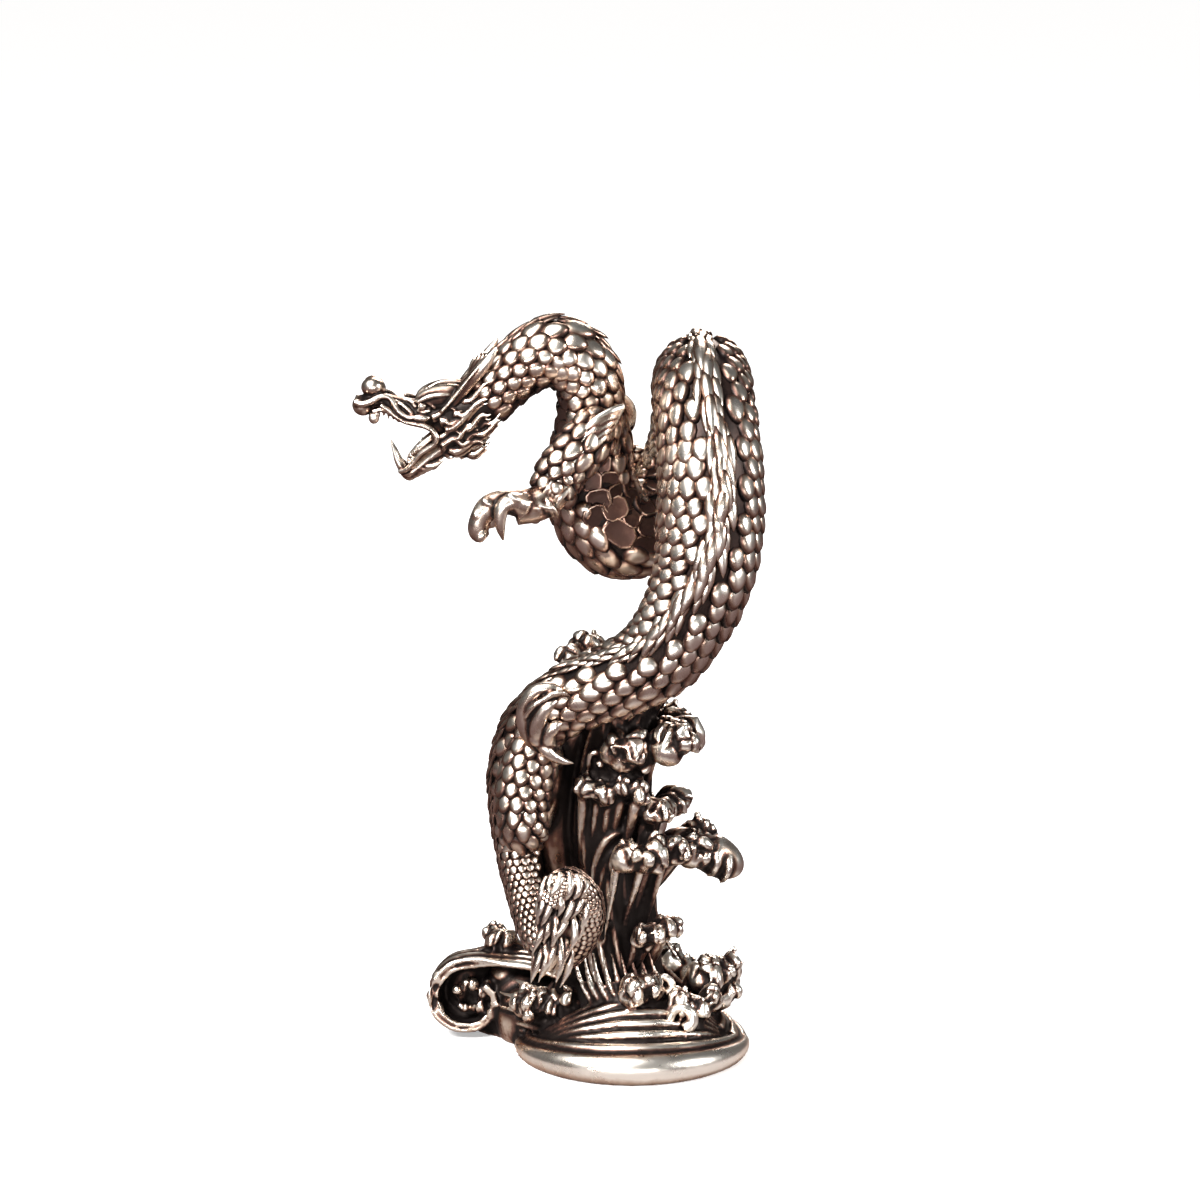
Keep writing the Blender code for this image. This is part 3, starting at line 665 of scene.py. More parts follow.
def crowned(mesh, fine, broad, level):
    """Writes how far each point stands out, from the mesh less its own smoothed copies."""
    places, normals = points_of(mesh)
    edges = np.empty(len(mesh.edges) * 2, np.int32)
    mesh.edges.foreach_get("vertices", edges)
    ends = np.concatenate((edges[::2], edges[1::2]))
    friends = np.concatenate((edges[1::2], edges[::2]))
    count = len(places)
    shares = np.maximum(np.bincount(ends, minlength=count), 1)
    out = np.full(count, level)
    soft = places.copy()
    done = 0
    for passes, depth in (fine, broad):
        for _ in range(passes - done):
            mean = np.stack([np.bincount(ends, soft[friends, k], count) for k in range(3)], 1)
            soft = 0.25 * soft + 0.75 * mean / shares[:, None]
        done = passes
        out += np.einsum("ij,ij->i", places - soft, normals) / depth
    write_attribute(mesh, "crown", np.clip(out, 0, 1))


def cast(name, grain, fine, broad, level, polish=1):
    """Fuses the wax in hand, tells its crests from its hollows, and hands the piece over.

    fine and broad are each a number of smoothing passes and the depth in metres that they show.
    """
    piece = wax.fused(name, grain, polish)
    crowned(piece.data, fine, broad, level)
    hand_over(piece)


def paw(wrist, forward, down, size):
    """Clenched paw: three hooked toes in front and a short one behind."""
    forward, down = unit(forward), unit(down)
    across = unit(np.cross(forward, down))
    palm = np.asarray(wrist) + forward * size
    wax.ball(palm, (1.2 * size,) * 3)
    for spread in (-0.85, 0, 0.85):
        root = palm + across * spread * size + forward * size * 0.3
        wax.tube([(*root, 0.55 * size),
                  (*(root + forward * size * 0.9 - down * size * 0.25), 0.68 * size),
                  (*(root + forward * size * 1.6 + down * size * 0.25), 0.60 * size),
                  (*(root + forward * size * 1.9 + down * size * 1.1), 0.56 * size),
                  (*(root + forward * size * 1.75 + down * size * 2), 0.36 * size),
                  (*(root + forward * size + down * size * 2.9), 0.07)], sides=12)
    thumb = palm - forward * size * 0.6
    wax.tube([(*thumb, 0.5 * size), (*(thumb + down * size * 1.2), 0.42 * size),
              (*(thumb + down * size * 1.9 + forward * size * 0.6), 0.07)], sides=10)


wax = Wax()
for limb in (FORE_NEAR, FORE_FAR, HIND_NEAR, HIND_FAR):
    wax.tube(limb, sides=20, steps=5)
# Near forepaw: fat curled toe, pointed claw beside it, another toe behind and a short thumb
for toe in ([(-6.6, -6.2, 57.9, 1.4), (-8.6, -6.5, 58.2, 1.2), (-9.9, -6.7, 57.7, 1.25),
             (-10.7, -6.8, 56.6, 1.1), (-10.9, -6.7, 55.4, 1.08), (-10.5, -6.6, 54.6, 0.8)],
            [(-6.4, -7.2, 58, 1.1), (-7.6, -7.8, 58.5, 0.95), (-8.5, -8.1, 58, 0.78),
             (-8.75, -8.2, 56.9, 0.62), (-8.7, -8.1, 55.8, 0.46), (-8.45, -8, 54.6, 0.1)],
            [(-7.2, -5, 57.8, 1.2), (-8.6, -4.6, 57.8, 1), (-9.5, -4.6, 57, 0.8),
             (-9.7, -4.8, 56, 0.7), (-9.5, -5, 55.3, 0.4)],
            [(-5.4, -5.6, 57, 1), (-5.4, -5.2, 56.2, 0.6), (-5.8, -5, 55.8, 0.1)]):
    wax.tube(toe, sides=14, steps=5)
for place, radii in (((-9.9, -7.5, 58.3), (0.8, 0.5, 0.42)), ((-11, -7.4, 57.1), (0.55, 0.5, 0.6)),
                     ((-10.6, -7.5, 55), (0.5, 0.4, 0.75)), ((-7.4, -8.4, 59), (0.8, 0.4, 0.4)),
                     ((-6.2, -7.2, 58.9), (0.6, 0.5, 0.4))):
    wax.ball(place, radii, -30)
for n in range(7):
    x = -3.6 - 0.5 * n
    wax.tube([(x + 0.5, -6.6, 56.6 + 0.02 * n, 0.14), (x + 0.3, -7.6, 57.5 + 0.1 * (n % 3), 0.16),
              (x - 0.4, -7.5, 58.4 - 0.2 * (n % 2), 0.18), (x - 0.9, -6.6, 59.2 - 0.02 * n, 0.1)])
paw((6.1, 12, 58.1), (1, 0.2, -0.2), (-0.2, 0.1, -1), 1)
# Near hind paw: three claws that reach over the body and a thumb, with strands over the knuckles
for toe in ([(-5, -5.6, 33.2, 1.2), (-6.2, -6.4, 35.4, 1), (-6.4, -6.8, 37.4, 0.85),
             (-5.4, -7.2, 39.2, 0.75), (-3.6, -7.4, 39.6, 0.6), (-2.2, -7.3, 39, 0.08)],
            [(-4.6, -6, 33.4, 0.9), (-5.2, -7.1, 35.2, 0.9), (-4.8, -7.7, 37, 0.75),
             (-4, -8, 38, 0.55), (-3, -7.8, 38.6, 0.08)],
            [(-4.2, -5.8, 32.8, 1), (-4.2, -7.1, 34.6, 0.8), (-3.4, -7.6, 35.8, 0.6),
             (-2.6, -7.5, 36.2, 0.08)],
            [(-4.8, -6.4, 34.4, 1), (-4.2, -6.9, 33, 0.7), (-2.8, -6.6, 32, 0.45),
             (-1.6, -6.2, 31.6, 0.08)]):
    wax.tube(toe, sides=12, steps=5)
wax.ball((-5.2, -7, 34.8), (0.95, 0.7, 1.3))
for n in range(5):
    wax.tube([(-6.6 + 0.5 * n, -7.1 - 0.12 * n, 36 + 0.5 * n, 0.14),
              (-5.9 + 0.5 * n, -7.9 - 0.1 * n, 37.6 + 0.4 * n, 0.24),
              (-4.7 + 0.5 * n, -8.1 - 0.06 * n, 38.6 + 0.2 * n, 0.2),
              (-3.4 + 0.4 * n, -7.8, 38.8, 0.08)])
paw((1.4, 5.8, 31.4), (0.4, 0.5, 0.8), (0.8, -0.6, 0.2), 1)
wax.tube([(-7.2, -5, 23.2, 0.9), (-8, -5.1, 22.7, 0.6), (-8.8, -5.2, 22.2, 0.1)], steps=3)
cast("legs_and_paws", 0.15, (13, 0.00010), (90, 0.0006), 0.58)

# Scales of the upper limbs: the limb, which way its back lies, first and last span, largest scale
limb_seats = []
for limb, out, first, last, wide in ((FORE_NEAR, (-0.5, -0.5, 0.7), 0, 2.9, 1.7),
                                     (FORE_FAR, (0, 0.6, 0.8), 0, 3.6, 1.6),
                                     (HIND_NEAR, (-0.9, -0.5, 0), 0, 2.4, 1.6),
                                     (HIND_FAR, (-0.5, 0.8, 0.2), 0, 4, 1.5)):
    run = framed([(*row, out) for row in limb], FRAMES)[int(first * FRAMES):int(last * FRAMES)]
    limb_seats += rows_down(run, 0, 165, wide, 0.95)
carve("limb_scales", scale, limb_seats, 0.10, 0.10, 4)

# Shoulder wisps
# Tufts of long hair that sweep back from the near shoulder over the upper arm and the elbow,
# laid on in wax strand by strand.

wax = Wax()
for n in range(9):
    t = n / 8
    start = np.array((3.4 - 1.4 * t, -4.6 - 0.9 * t, 67.4 - 2.4 * t))
    reach = np.array((-4 + 0.6 * t, -1.2, -2 - 1.2 * t)) * (1 + 0.2 * sin(3 * n))
    bulge = np.array((0.2, -0.7, 0.6))
    wax.tube([(*start, 0.30), (*(start + reach * 0.35 + bulge * 0.6), 0.42),
              (*(start + reach * 0.75 + bulge * 0.7), 0.30), (*(start + reach * 1.1), 0.05)],
             steps=5, flat=0.7)
for n in range(5):
    start = np.array((-3.2 + 0.3 * n, -6.6, 60.6 - 0.25 * n))
    wax.tube([(*start, 0.3), (*(start + (-0.9, -0.4, -0.9)), 0.36),
              (*(start + (-1.5, -0.2, -2.2)), 0.06)], steps=5, flat=0.7)
cast("shoulder_wisps", 0.10, (13, 0.00008), (80, 0.0004), 0.5)

# Head and mane
# Open-mouthed head in profile: ball nose over a curled snout, rolled lips, a domed brow over the
# eye, horns laid back along the neck, and wavy locks that stream from the cheek and the jaw.

HEAD_MIDDLE = -1     # y of the plane that halves the head
wax = Wax()


def paired(rows, wide, sides=8, steps=4):
    """Tube through rows of x, z, offset, radius on the near and on the far side of the head."""
    for side in (-1, 1):
        wax.tube([(x, HEAD_MIDDLE + side * (wide + out), z, r) for x, z, out, r in rows],
                 sides, steps)


def jaw(rows, sides=16):
    """Tapered jaw through rows of x, z, half height, half width."""
    way = unit((rows[-1][0] - rows[0][0], 0, rows[-1][1] - rows[0][1]))
    path = smooth(rows, 5)
    wax.rings([(x, HEAD_MIDDLE, z) for x, z, _, _ in path],
              [(-way[2] * tall, 0, way[0] * tall) for _, _, tall, _ in path],
              [(0, wide, 0) for _, _, _, wide in path], sides)


# Skull and jaws, nose, curled snout, eyes and brows, then lips, fangs, teeth and tongue
wax.ball((-13.2, HEAD_MIDDLE, 66), (2.8, 2.4, 2.5), 25, 20)
jaw([(-12.6, 66.4, 2.4, 2.3), (-14.6, 66.4, 1.8, 2.1), (-16.6, 66.2, 1.35, 1.8),
     (-18.4, 66.6, 1, 1.45), (-20.2, 67.3, 0.75, 1.25), (-21.6, 67.5, 0.9, 1.35),
     (-22.4, 67, 0.95, 1.4)])
jaw([(-12.6, 64.4, 1.9, 2.1), (-14.3, 62.9, 1.15, 1.8), (-15.7, 61.8, 0.75, 1.4),
     (-17.1, 60.6, 0.62, 1.1), (-18.1, 60, 0.6, 0.95), (-18.8, 60, 0.4, 0.6)])
wax.ball((-22.4, HEAD_MIDDLE, 66.85), (1.1, 1.6, 1.05), sides=16)
wax.ball((-21.35, HEAD_MIDDLE, 68.6), (1.25, 1.5, 1.05), -8, 16)
for side in (-1, 1):
    y = HEAD_MIDDLE + side
    wax.ball((-21.3, y, 65.75), (0.55, 0.5, 0.62))
    wax.ball((-21.4, HEAD_MIDDLE + side * 0.8, 68.85), (1, 0.85, 0.85))
    wax.ball((-16.5, HEAD_MIDDLE + side * 1.95, 67.1), (0.42, 0.34, 0.42))
    wax.ball((-14.7, HEAD_MIDDLE + side * 1.4, 68), (2.6, 0.95, 1.15), 12, 16)
paired([(-23.2, 67.4, -0.1, 0.34), (-22.4, 67.2, 0.1, 0.36), (-21.5, 67.5, 0.2, 0.34),
        (-20.6, 67.95, 0.1, 0.3), (-19.7, 67.8, 0.1, 0.28), (-19.2, 67.1, 0.2, 0.28),
        (-18.8, 66.5, 0.35, 0.28), (-17.9, 65.95, 0.55, 0.26), (-17, 66, 0.7, 0.2)], 1.25)
paired([(-20.6, 67.1, 0.1, 0.24), (-19.8, 66.6, 0.2, 0.26), (-19.1, 66, 0.3, 0.28),
        (-18.2, 65.5, 0.45, 0.28), (-17.3, 65.3, 0.6, 0.3), (-16.3, 65.1, 0.75, 0.3),
        (-15.5, 64.7, 0.85, 0.3), (-15.1, 64, 0.9, 0.3), (-15.3, 63.3, 0.8, 0.28),
        (-16, 62.8, 0.6, 0.28), (-16.8, 62.2, 0.4, 0.26), (-17.4, 61.4, 0.2, 0.25),
        (-18.1, 60.6, 0, 0.26), (-18.9, 60.3, -0.4, 0.26)], 1.2)
paired([(-21.4, 66.4, 0, 0.26), (-20.4, 66.6, 0.1, 0.24), (-19.5, 66.2, 0.2, 0.24),
        (-18.7, 65.5, 0.3, 0.22)], 1.2)
paired([(-18.5, 60.5, 0, 0.5), (-19, 61.4, 0.05, 0.38), (-19.3, 62.3, 0.05, 0.24),
        (-19.75, 63.4, 0, 0.05)], 0.55)
paired([(-21, 66.2, 0, 0.3), (-20.9, 65.5, 0, 0.05)], 1.2, steps=2)
for n in range(4):
    paired([(-20.3 + 0.45 * n, 66.3 - 0.16 * n, 0, 0.16),
            (-20.3 + 0.45 * n, 65.85 - 0.16 * n, 0, 0.05)], 1.3, 6, 2)
for n in range(6):
    paired([(-16.5 - 0.36 * n, 63.1 - 0.44 * n, 0, 0.2),
            (-16.72 - 0.36 * n, 63.5 - 0.44 * n, 0, 0.06)], 1.05 - 0.06 * n, 6, 2)
wax.tube([(-14.2, HEAD_MIDDLE, 64.4, 0.8), (-15.8, HEAD_MIDDLE, 63.4, 0.62),
          (-17, HEAD_MIDDLE, 62.4, 0.5), (-18, HEAD_MIDDLE, 61.6, 0.2)], sides=12)
# Nose bridge creases, cheek, eyelids and the feathered brow
paired([(-19.2, 67.5, 0, 0.16), (-18.4, 67.1, 0.25, 0.2), (-17.7, 66.5, 0.45, 0.2),
        (-17.2, 65.8, 0.6, 0.14)], 1.2)
paired([(-18.4, 67.7, 0, 0.2), (-17.6, 67.5, 0.2, 0.24), (-17.1, 66.9, 0.45, 0.2)], 1.1)
paired([(-17.2, 67.5, 0.2, 0.16), (-16.6, 67.75, 0.5, 0.2), (-15.8, 67.4, 0.6, 0.2),
        (-15.2, 66.9, 0.6, 0.14)], 1.45)
paired([(-17, 66.7, 0.2, 0.14), (-16.4, 66.5, 0.4, 0.18), (-15.7, 66.7, 0.5, 0.14)], 1.6)
wax.ball((-16.6, HEAD_MIDDLE - 1.9, 65.9), (0.9, 0.35, 0.4))
wax.ball((-16.6, HEAD_MIDDLE + 1.9, 65.9), (0.9, 0.35, 0.4))
for n in range(5):
    paired([(-17 + 0.25 * n, 67.5 + 0.25 * n, 0, 0.15), (-15.8 + 0.3 * n, 68.1 + 0.24 * n, 0.15, 0.26),
            (-14.3 + 0.4 * n, 68.3 + 0.20 * n, 0.1, 0.24),
            (-12.8 + 0.35 * n, 68.2 + 0.14 * n, -0.1, 0.08)], 2.1 - 0.42 * n)
# Horns, laid back up the sides of the neck
paired([(-14.4, 66.4, 0.1, 0.34), (-13.6, 67.2, 0.2, 0.5), (-12.6, 68.5, 0.3, 0.62),
        (-11.4, 70, 0.5, 0.66), (-10.4, 71.2, 0.7, 0.58), (-9.6, 72.3, 0.8, 0.4),
        (-9.1, 73.1, 0.8, 0.1)], 1.7, 12)
paired([(-14.6, 66.6, 0.5, 0.16), (-13.4, 68, 0.6, 0.2), (-12, 69.8, 0.8, 0.2),
        (-10.9, 71.2, 1, 0.12)], 1.9)
for n in range(4):
    paired([(-11.9 + 0.2 * n, 69.8, 0, 0.26), (-11.6 + 0.3 * n, 71, 0.1, 0.24),
            (-11.1 + 0.34 * n, 71.9 + 0.12 * n, 0.1, 0.06)], 0.3 + 0.3 * n)
# Cheek and jaw locks: root x, z, offset, then tip x, z, offset and thickness
locks = [(-16.9, 66.1, 1.5, -12.7, 68.4, 2.2, 0.30), (-14.8, 65.3, 2, -11.8, 66.2, 2.5, 0.34),
         (-14.2, 64.6, 2, -10, 68.1, 2.8, 0.38), (-13.2, 64, 2, -11, 65.6, 2.6, 0.30),
         (-14.5, 63.4, 1.8, -11.8, 63.7, 2.3, 0.32), (-12.2, 63.6, 1.9, -9.1, 65.5, 2.6, 0.34),
         (-13.4, 66, 2.2, -10.8, 67.4, 2.8, 0.30), (-13.8, 62.6, 1.5, -10.4, 63.6, 2.2, 0.40),
         (-12, 65, 2.2, -9.6, 66.8, 2.9, 0.30), (-15.6, 62, 1.1, -13.2, 62.6, 1.5, 0.28),
         (-16.6, 61, 0.9, -14.6, 61.6, 1.2, 0.24), (-12.6, 67.2, 2, -10, 69.4, 2.6, 0.32),
         (-15.6, 64, 1.7, -12.6, 64.6, 2.4, 0.28), (-15.4, 66.3, 1.9, -12.4, 67, 2.4, 0.26),
         (-11.4, 64.4, 2, -8.8, 66.4, 2.6, 0.30), (-13, 61.9, 1, -10, 63, 1.8, 0.34)]
for k, (x, z, out, tip_x, tip_z, tip_out, thick) in enumerate(locks):
    rows = []
    for t in (0, 0.2, 0.4, 0.6, 0.8, 1):
        wave = 0.34 * sin(t * 2.3 * pi + 1.3 * k)
        rows.append((x + (tip_x - x) * t + 0.3 * wave, z + (tip_z - z) * t + wave,
                     out + (tip_out - out) * t, thick * (1.15 - 0.85 * t**2)))
    paired(rows, 0)
    paired([(rx + 0.12, rz - 0.42, ro - 0.1, r * 0.6) for rx, rz, ro, r in rows], 0)
# Chin tuft and the ridges under the jaw
for n in range(5):
    paired([(-18.4 + 0.55 * n, 59.9 + 0.25 * n, 0, 0.34),
            (-17.8 + 0.6 * n, 59.6 + 0.34 * n, 0.1, 0.34), (-17 + 0.6 * n, 60 + 0.36 * n, 0.2, 0.12)],
           0.25 + 0.18 * n)
cast("head", 0.10, (16, 0.00010), (106, 0.0005), 0.42)

# Tail tuft
# The tail's end curls over and spreads into four tiers of uneven flame-shaped locks, laid over a
# flat core.

wax = Wax()
# Height, length, number of locks, half width and drift to the left of each tier
tiers = [(21.3, 3.4, 6, 1.9, 0), (19.6, 4, 7, 2.3, -0.3), (17.4, 4.4, 7, 2, -0.7),
         (15, 5.4, 8, 1.5, -1.2)]
for tier, (top, long, count, wide, drift) in enumerate(tiers):
    for n in range(count):
        s = -1 + 2 * n / (count - 1) + 0.10 * sin(5 * n + tier)
        front = sqrt(max(1 - 0.7 * s * s, 0.1))
        reach = long * (0.86 + 0.16 * sin(3.1 * n + 2 * tier))
        x, y, z = -2.5 + drift + wide * s, -8.7 - front, top - 0.6 * s * s
        curl = 0.35 * sin(2.3 * n + tier)
        wax.tube([(x * 0.9 - 0.3, y + 0.5, z, 0.22), (x + 0.2 * s, y - 0.1, z - 0.3 * reach, 0.40),
                  (x + 0.15 * s - 0.3 + curl, y - 0.35, z - 0.65 * reach, 0.34),
                  (x - 0.1 * s - 0.9 + 1.6 * curl, y - 0.2, z - reach, 0.06)], steps=5, flat=0.8)
wax.tube([(-2.4, -8.8, 20.4, 1.3), (-2.6, -8.6, 18.2, 1.7), (-2.9, -8.4, 15.6, 1.4),
          (-3.6, -8.6, 13.2, 1.2), (-4.4, -8.6, 10.8, 0.4)], sides=14, flat=0.7)
cast("tail_tuft", 0.10, (16, 0.00007), (106, 0.0004), 0.40)

# Water column
# Spout of water that carries the dragon. It is fluted lengthways by thin bright ridges and
# breaks out in tiers of crests, each a row of fingers that end in lumps of foam.

RANDOM = np.random.default_rng(11)
KNOB_POINTS = 95           # corners of facets to one knob of foam
KNOB_SQUAT = 0.6           # counted height of a knob over its width, so that knobs stand tall
CREASE_WIDTH, CREASE_DEPTH, KNOB_RISE = 0.00075, 0.00030, 0.00010


def finger(foot, centre, out, size, thick, turns):
    """Finger of water: it rises from foot, bends over towards out and ends in lumps of foam."""
    out, up = unit((*out, 0)), np.array((0, 0, 1))
    foot, centre = np.asarray(foot, float), np.asarray(centre, float)
    start = centre - out * size
    rows = [(*(foot - out * 1.2), 0.1), (*((foot + start) / 2 - out * 0.3 * size), thick * 0.5)]
    for t in np.linspace(0, 1, 6):
        angle = pi * (1 - 2 * turns * t)
        reach = size * (1 - 0.35 * t)
        rows.append((*(centre + reach * (cos(angle) * out + sin(angle) * up)),
                     thick * (0.8 + 0.25 * t)))
    wax.tube(rows, sides=12)
    for side in (-1, 1):
        sideways = np.array((-out[1], out[0], 0)) * side * thick * 0.8
        beside = sideways + 0.25 * thick * out
        wax.tube([(*(np.array(row[:3]) + beside), row[3] * 0.3) for row in rows[2:7]])
    return np.array(rows[-1][:3])


def foam(place, count, spread, size):
    """Small lumps of foam scattered round a place."""
    wax.spots.append((np.asarray(place, float), spread + 2.2 * size))
    for _ in range(count):
        shift = unit(RANDOM.normal(0, 1, 3)) * spread * RANDOM.uniform(0.6, 1)
        wax.ball(np.asarray(place) + shift, np.maximum(RANDOM.uniform(0.7, 1.2, 3) * size, 0.32),
                 RANDOM.uniform(-60, 60), 14)


def breaker(foot, centre, out, size, width, fingers, thick=0.8):
    """Breaking crest: uneven fingers of water side by side over a solid core, tipped with foam."""
    sideways = np.array((-out[1], out[0], 0)) / hypot(*out)
    heading = atan2(out[1], out[0])
    for n in range(fingers):
        place = (n / max(fingers - 1, 1) - 0.5) * width + RANDOM.uniform(-0.3, 0.3) * thick
        grown = size * RANDOM.uniform(0.72, 1.2)
        stout = thick * RANDOM.uniform(0.75, 1.3)
        turned = heading + RANDOM.uniform(-0.45, 0.45)
        shift = RANDOM.uniform(-0.3, 0.3, 3) * (size, size, 1.2 * size)
        middle = np.asarray(centre) + sideways * place + shift
        tip = finger(np.asarray(foot) + sideways * place * 0.8, middle, (cos(turned), sin(turned)),
                     grown, stout, RANDOM.uniform(0.32, 0.62))
        if out[1] > 0.1:
            wax.tube([(*(np.asarray(foot) + sideways * place * 0.6), 0.4 * size),
                      (*((foot + middle) / 2), 0.7 * size), (*middle, 0.7 * size)], sides=12)
            for lean in (-0.8, 0, 0.8):
                beside = 0.75 * size * (lean * sideways + np.array((*out, 0)) * (1.1 - abs(lean)))
                wax.tube([(*(np.asarray(foot) + sideways * place * 0.6 + 0.5 * beside), 0.12),
                          (*((foot + middle) / 2 + beside), 0.30), (*(middle + beside), 0.24)])
        wax.ball(middle - np.array((cos(heading), sin(heading), 0)) * size * 0.3, (size * 0.8,) * 3)
        wax.ball(tip, RANDOM.uniform(0.9, 1.25, 3) * stout, RANDOM.uniform(-40, 40))
        foam(tip, 5, stout, stout * 0.5)
        foam(middle + (0, 0, 0.8 * grown), 3, 0.6 * grown, stout * 0.5)


COLUMN = [(1.6, 1, -1, 8.4), (2, 1, 4, 6.6), (2.4, 1.2, 10, 4.8), (2.6, 1, 17, 4.1),
          (2.1, 0.8, 24, 4.1), (2.6, 0, 31, 3.8), (3, -1.6, 37, 3.4), (3.6, -3.4, 40.5, 2.6)]
wax = Wax()
wax.tube(COLUMN, sides=120, steps=12)
wax.tube([(-1.6, 1.6, 14, 1.2), (-3.2, 0.9, 19, 1.9), (-3.6, 0.5, 24, 2), (-3.2, 0.1, 29, 1.9),
          (-1.6, -0.6, 34, 1.6)], sides=20, steps=6)
wax.tube([(-5.4, -2.4, 24.4, 1.5), (-4, -0.8, 27.2, 1.3), (-3.8, -2, 31, 1.3),
          (-4.6, -4.8, 33.2, 1.2)], sides=16, steps=5)
foam((3.6, -2.2, 40), 9, 2, 0.8)
column_run = smooth(COLUMN, 6)


def on_column(x, z):
    """Point on the near face of the column at x and z."""
    cx, cy, r = (np.interp(z, column_run[:, 2], column_run[:, k]) for k in (0, 1, 3))
    return x, cy - sqrt(max(r * r - (x - cx) ** 2, 0.3)), z


# Bright ribs on the near face: x, z and radius down each rib
ribs = [[(-1.3, 27, 0.1), (-1.6, 25.2, 0.28), (-1.6, 22.4, 0.30), (-1.5, 19.4, 0.26), (-1.2, 16, 0.1)],
        [(-0.4, 27, 0.1), (-0.6, 25, 0.24), (-0.5, 22, 0.28), (-0.4, 19.2, 0.22), (0, 15, 0.1)],
        [(0.4, 17, 0.1), (0.6, 14, 0.26), (1.2, 11, 0.34), (2, 7.6, 0.30), (2.6, 5.6, 0.1)],
        [(-0.3, 13, 0.1), (0, 11, 0.24), (0.5, 8.6, 0.30), (1.2, 6.2, 0.1)],
        [(1.8, 19, 0.1), (1.9, 17, 0.24), (2.4, 13.6, 0.30), (3, 10.2, 0.28), (3.6, 8, 0.1)],
        [(3.4, 19.6, 0.1), (3.5, 17.6, 0.18), (3.7, 14, 0.20), (3.8, 12.6, 0.08)],
        [(4.8, 19, 0.1), (4.9, 17, 0.14), (5, 14, 0.14), (5.2, 12.4, 0.06)],
        [(6, 18.6, 0.1), (6.2, 17, 0.18), (6.6, 14.6, 0.20), (7.6, 11.4, 0.22), (9.4, 8.4, 0.1)],
        [(0.2, 17.8, 0.2), (0.6, 20.4, 0.34), (1.6, 22.8, 0.40), (3.2, 23.8, 0.36), (5, 23.4, 0.2)],
        [(1, 17.4, 0.1), (1.4, 19.6, 0.24), (2.4, 21.4, 0.28), (4, 22, 0.1)],
        [(0.8, 26.6, 0.1), (1.6, 25.4, 0.22), (3.4, 25.2, 0.26), (5.2, 25.6, 0.1)],
        [(4.4, 9.6, 0.1), (4.6, 8, 0.3), (5.4, 6.4, 0.34), (6.8, 5.2, 0.1)],
        [(2.4, 35.6, 0.1), (2.2, 33, 0.24), (2.2, 30, 0.24), (2.6, 28, 0.1)]]
for rib in ribs:
    wax.tube([(*on_column(x, z), 1.3 * r) for x, z, r in rib], sides=10, steps=5)
for n in range(13):
    angle = radians(12 + 14 * n)
    first, last = 3 + 5 * (n % 3), 26 + 4 * (n % 4)
    rows = []
    for k, (x, y, z, r) in enumerate(column_run[first:last:3]):
        twist = angle + 0.03 * z + 0.10 * sin(0.4 * z + n)
        taper = sin(pi * (k + 0.4) * 3 / (last - first + 0.6))
        rows.append((x + r * cos(twist), y + r * sin(twist), z, 0.06 + 0.34 * max(taper, 0)))
    wax.tube(rows)
# Crests: foot, middle, way out, size, width, number of fingers and, for the first, thickness
column_tiers = [((5, -1.5, 27), (8.7, -2.4, 33.2), (1, -0.3), 2.4, 4.2, 4, 1.05),
                ((3.6, -3, 26), (4.4, -5, 32.2), (0.2, -1), 1.9, 4.4, 4),
                ((0.6, 1.6, 34), (-1, 2.6, 40.9), (-0.8, 0.5), 1.5, 4.4, 4),
                ((4, -0.4, 33), (6, -0.6, 37.6), (1, 0.2), 1.5, 3.6, 3),
                ((3, 3.4, 26), (4.4, 6.2, 33), (0.3, 1), 2.1, 5, 4),
                ((1, -3, 20), (2, -4.4, 28.2), (-0.2, -1), 1.1, 5.4, 5),
                ((5.6, -1.5, 18), (7.6, -2.4, 26.2), (1, -0.4), 1.5, 4.2, 4),
                ((4, -3.4, 12), (6.2, -5.2, 21.6), (0.5, -1), 1.9, 5, 5),
                ((5.6, 0, 14), (10.6, -0.8, 21.6), (1, -0.1), 1.9, 2.6, 3),
                ((3, 5, 12), (3.6, 7.6, 21), (0.1, 1), 2.2, 6, 5),
                ((-1.6, 4, 10), (-3.4, 6.2, 17.6), (-0.8, 0.7), 1.9, 4.4, 4),
                ((5, -3.6, 8), (6.6, -4.8, 13.4), (0.7, -1), 1.1, 4.2, 4)]
for tier in column_tiers:
    breaker(*tier)
# Smooth lump that droops at the right, with folds over it
wax.ball((12.6, -0.6, 20.5), (3.3, 2, 2.1), -32, 48)
wax.ball((9.4, -0.8, 21.6), (2.4, 1.8, 1.8), -20, 40)
for n in range(4):
    x, z = 10.4 + 1.15 * n, 21.9 - 0.72 * n
    wax.tube([(x - 0.5, 0.4, z + 1.6, 0.2), (x + 0.1, -1.6, z + 1.3, 0.34),
              (x + 0.2, -2.6, z - 0.1, 0.36), (x - 0.3, -2.2, z - 1.4, 0.24),
              (x - 0.8, -1.2, z - 2, 0.1)], sides=10, steps=5)
foam((10.6, -2.2, 22), 10, 0.9, 0.4)
wax.spots.append((np.array((9.6, -0.8, 21.6)), 2.4))
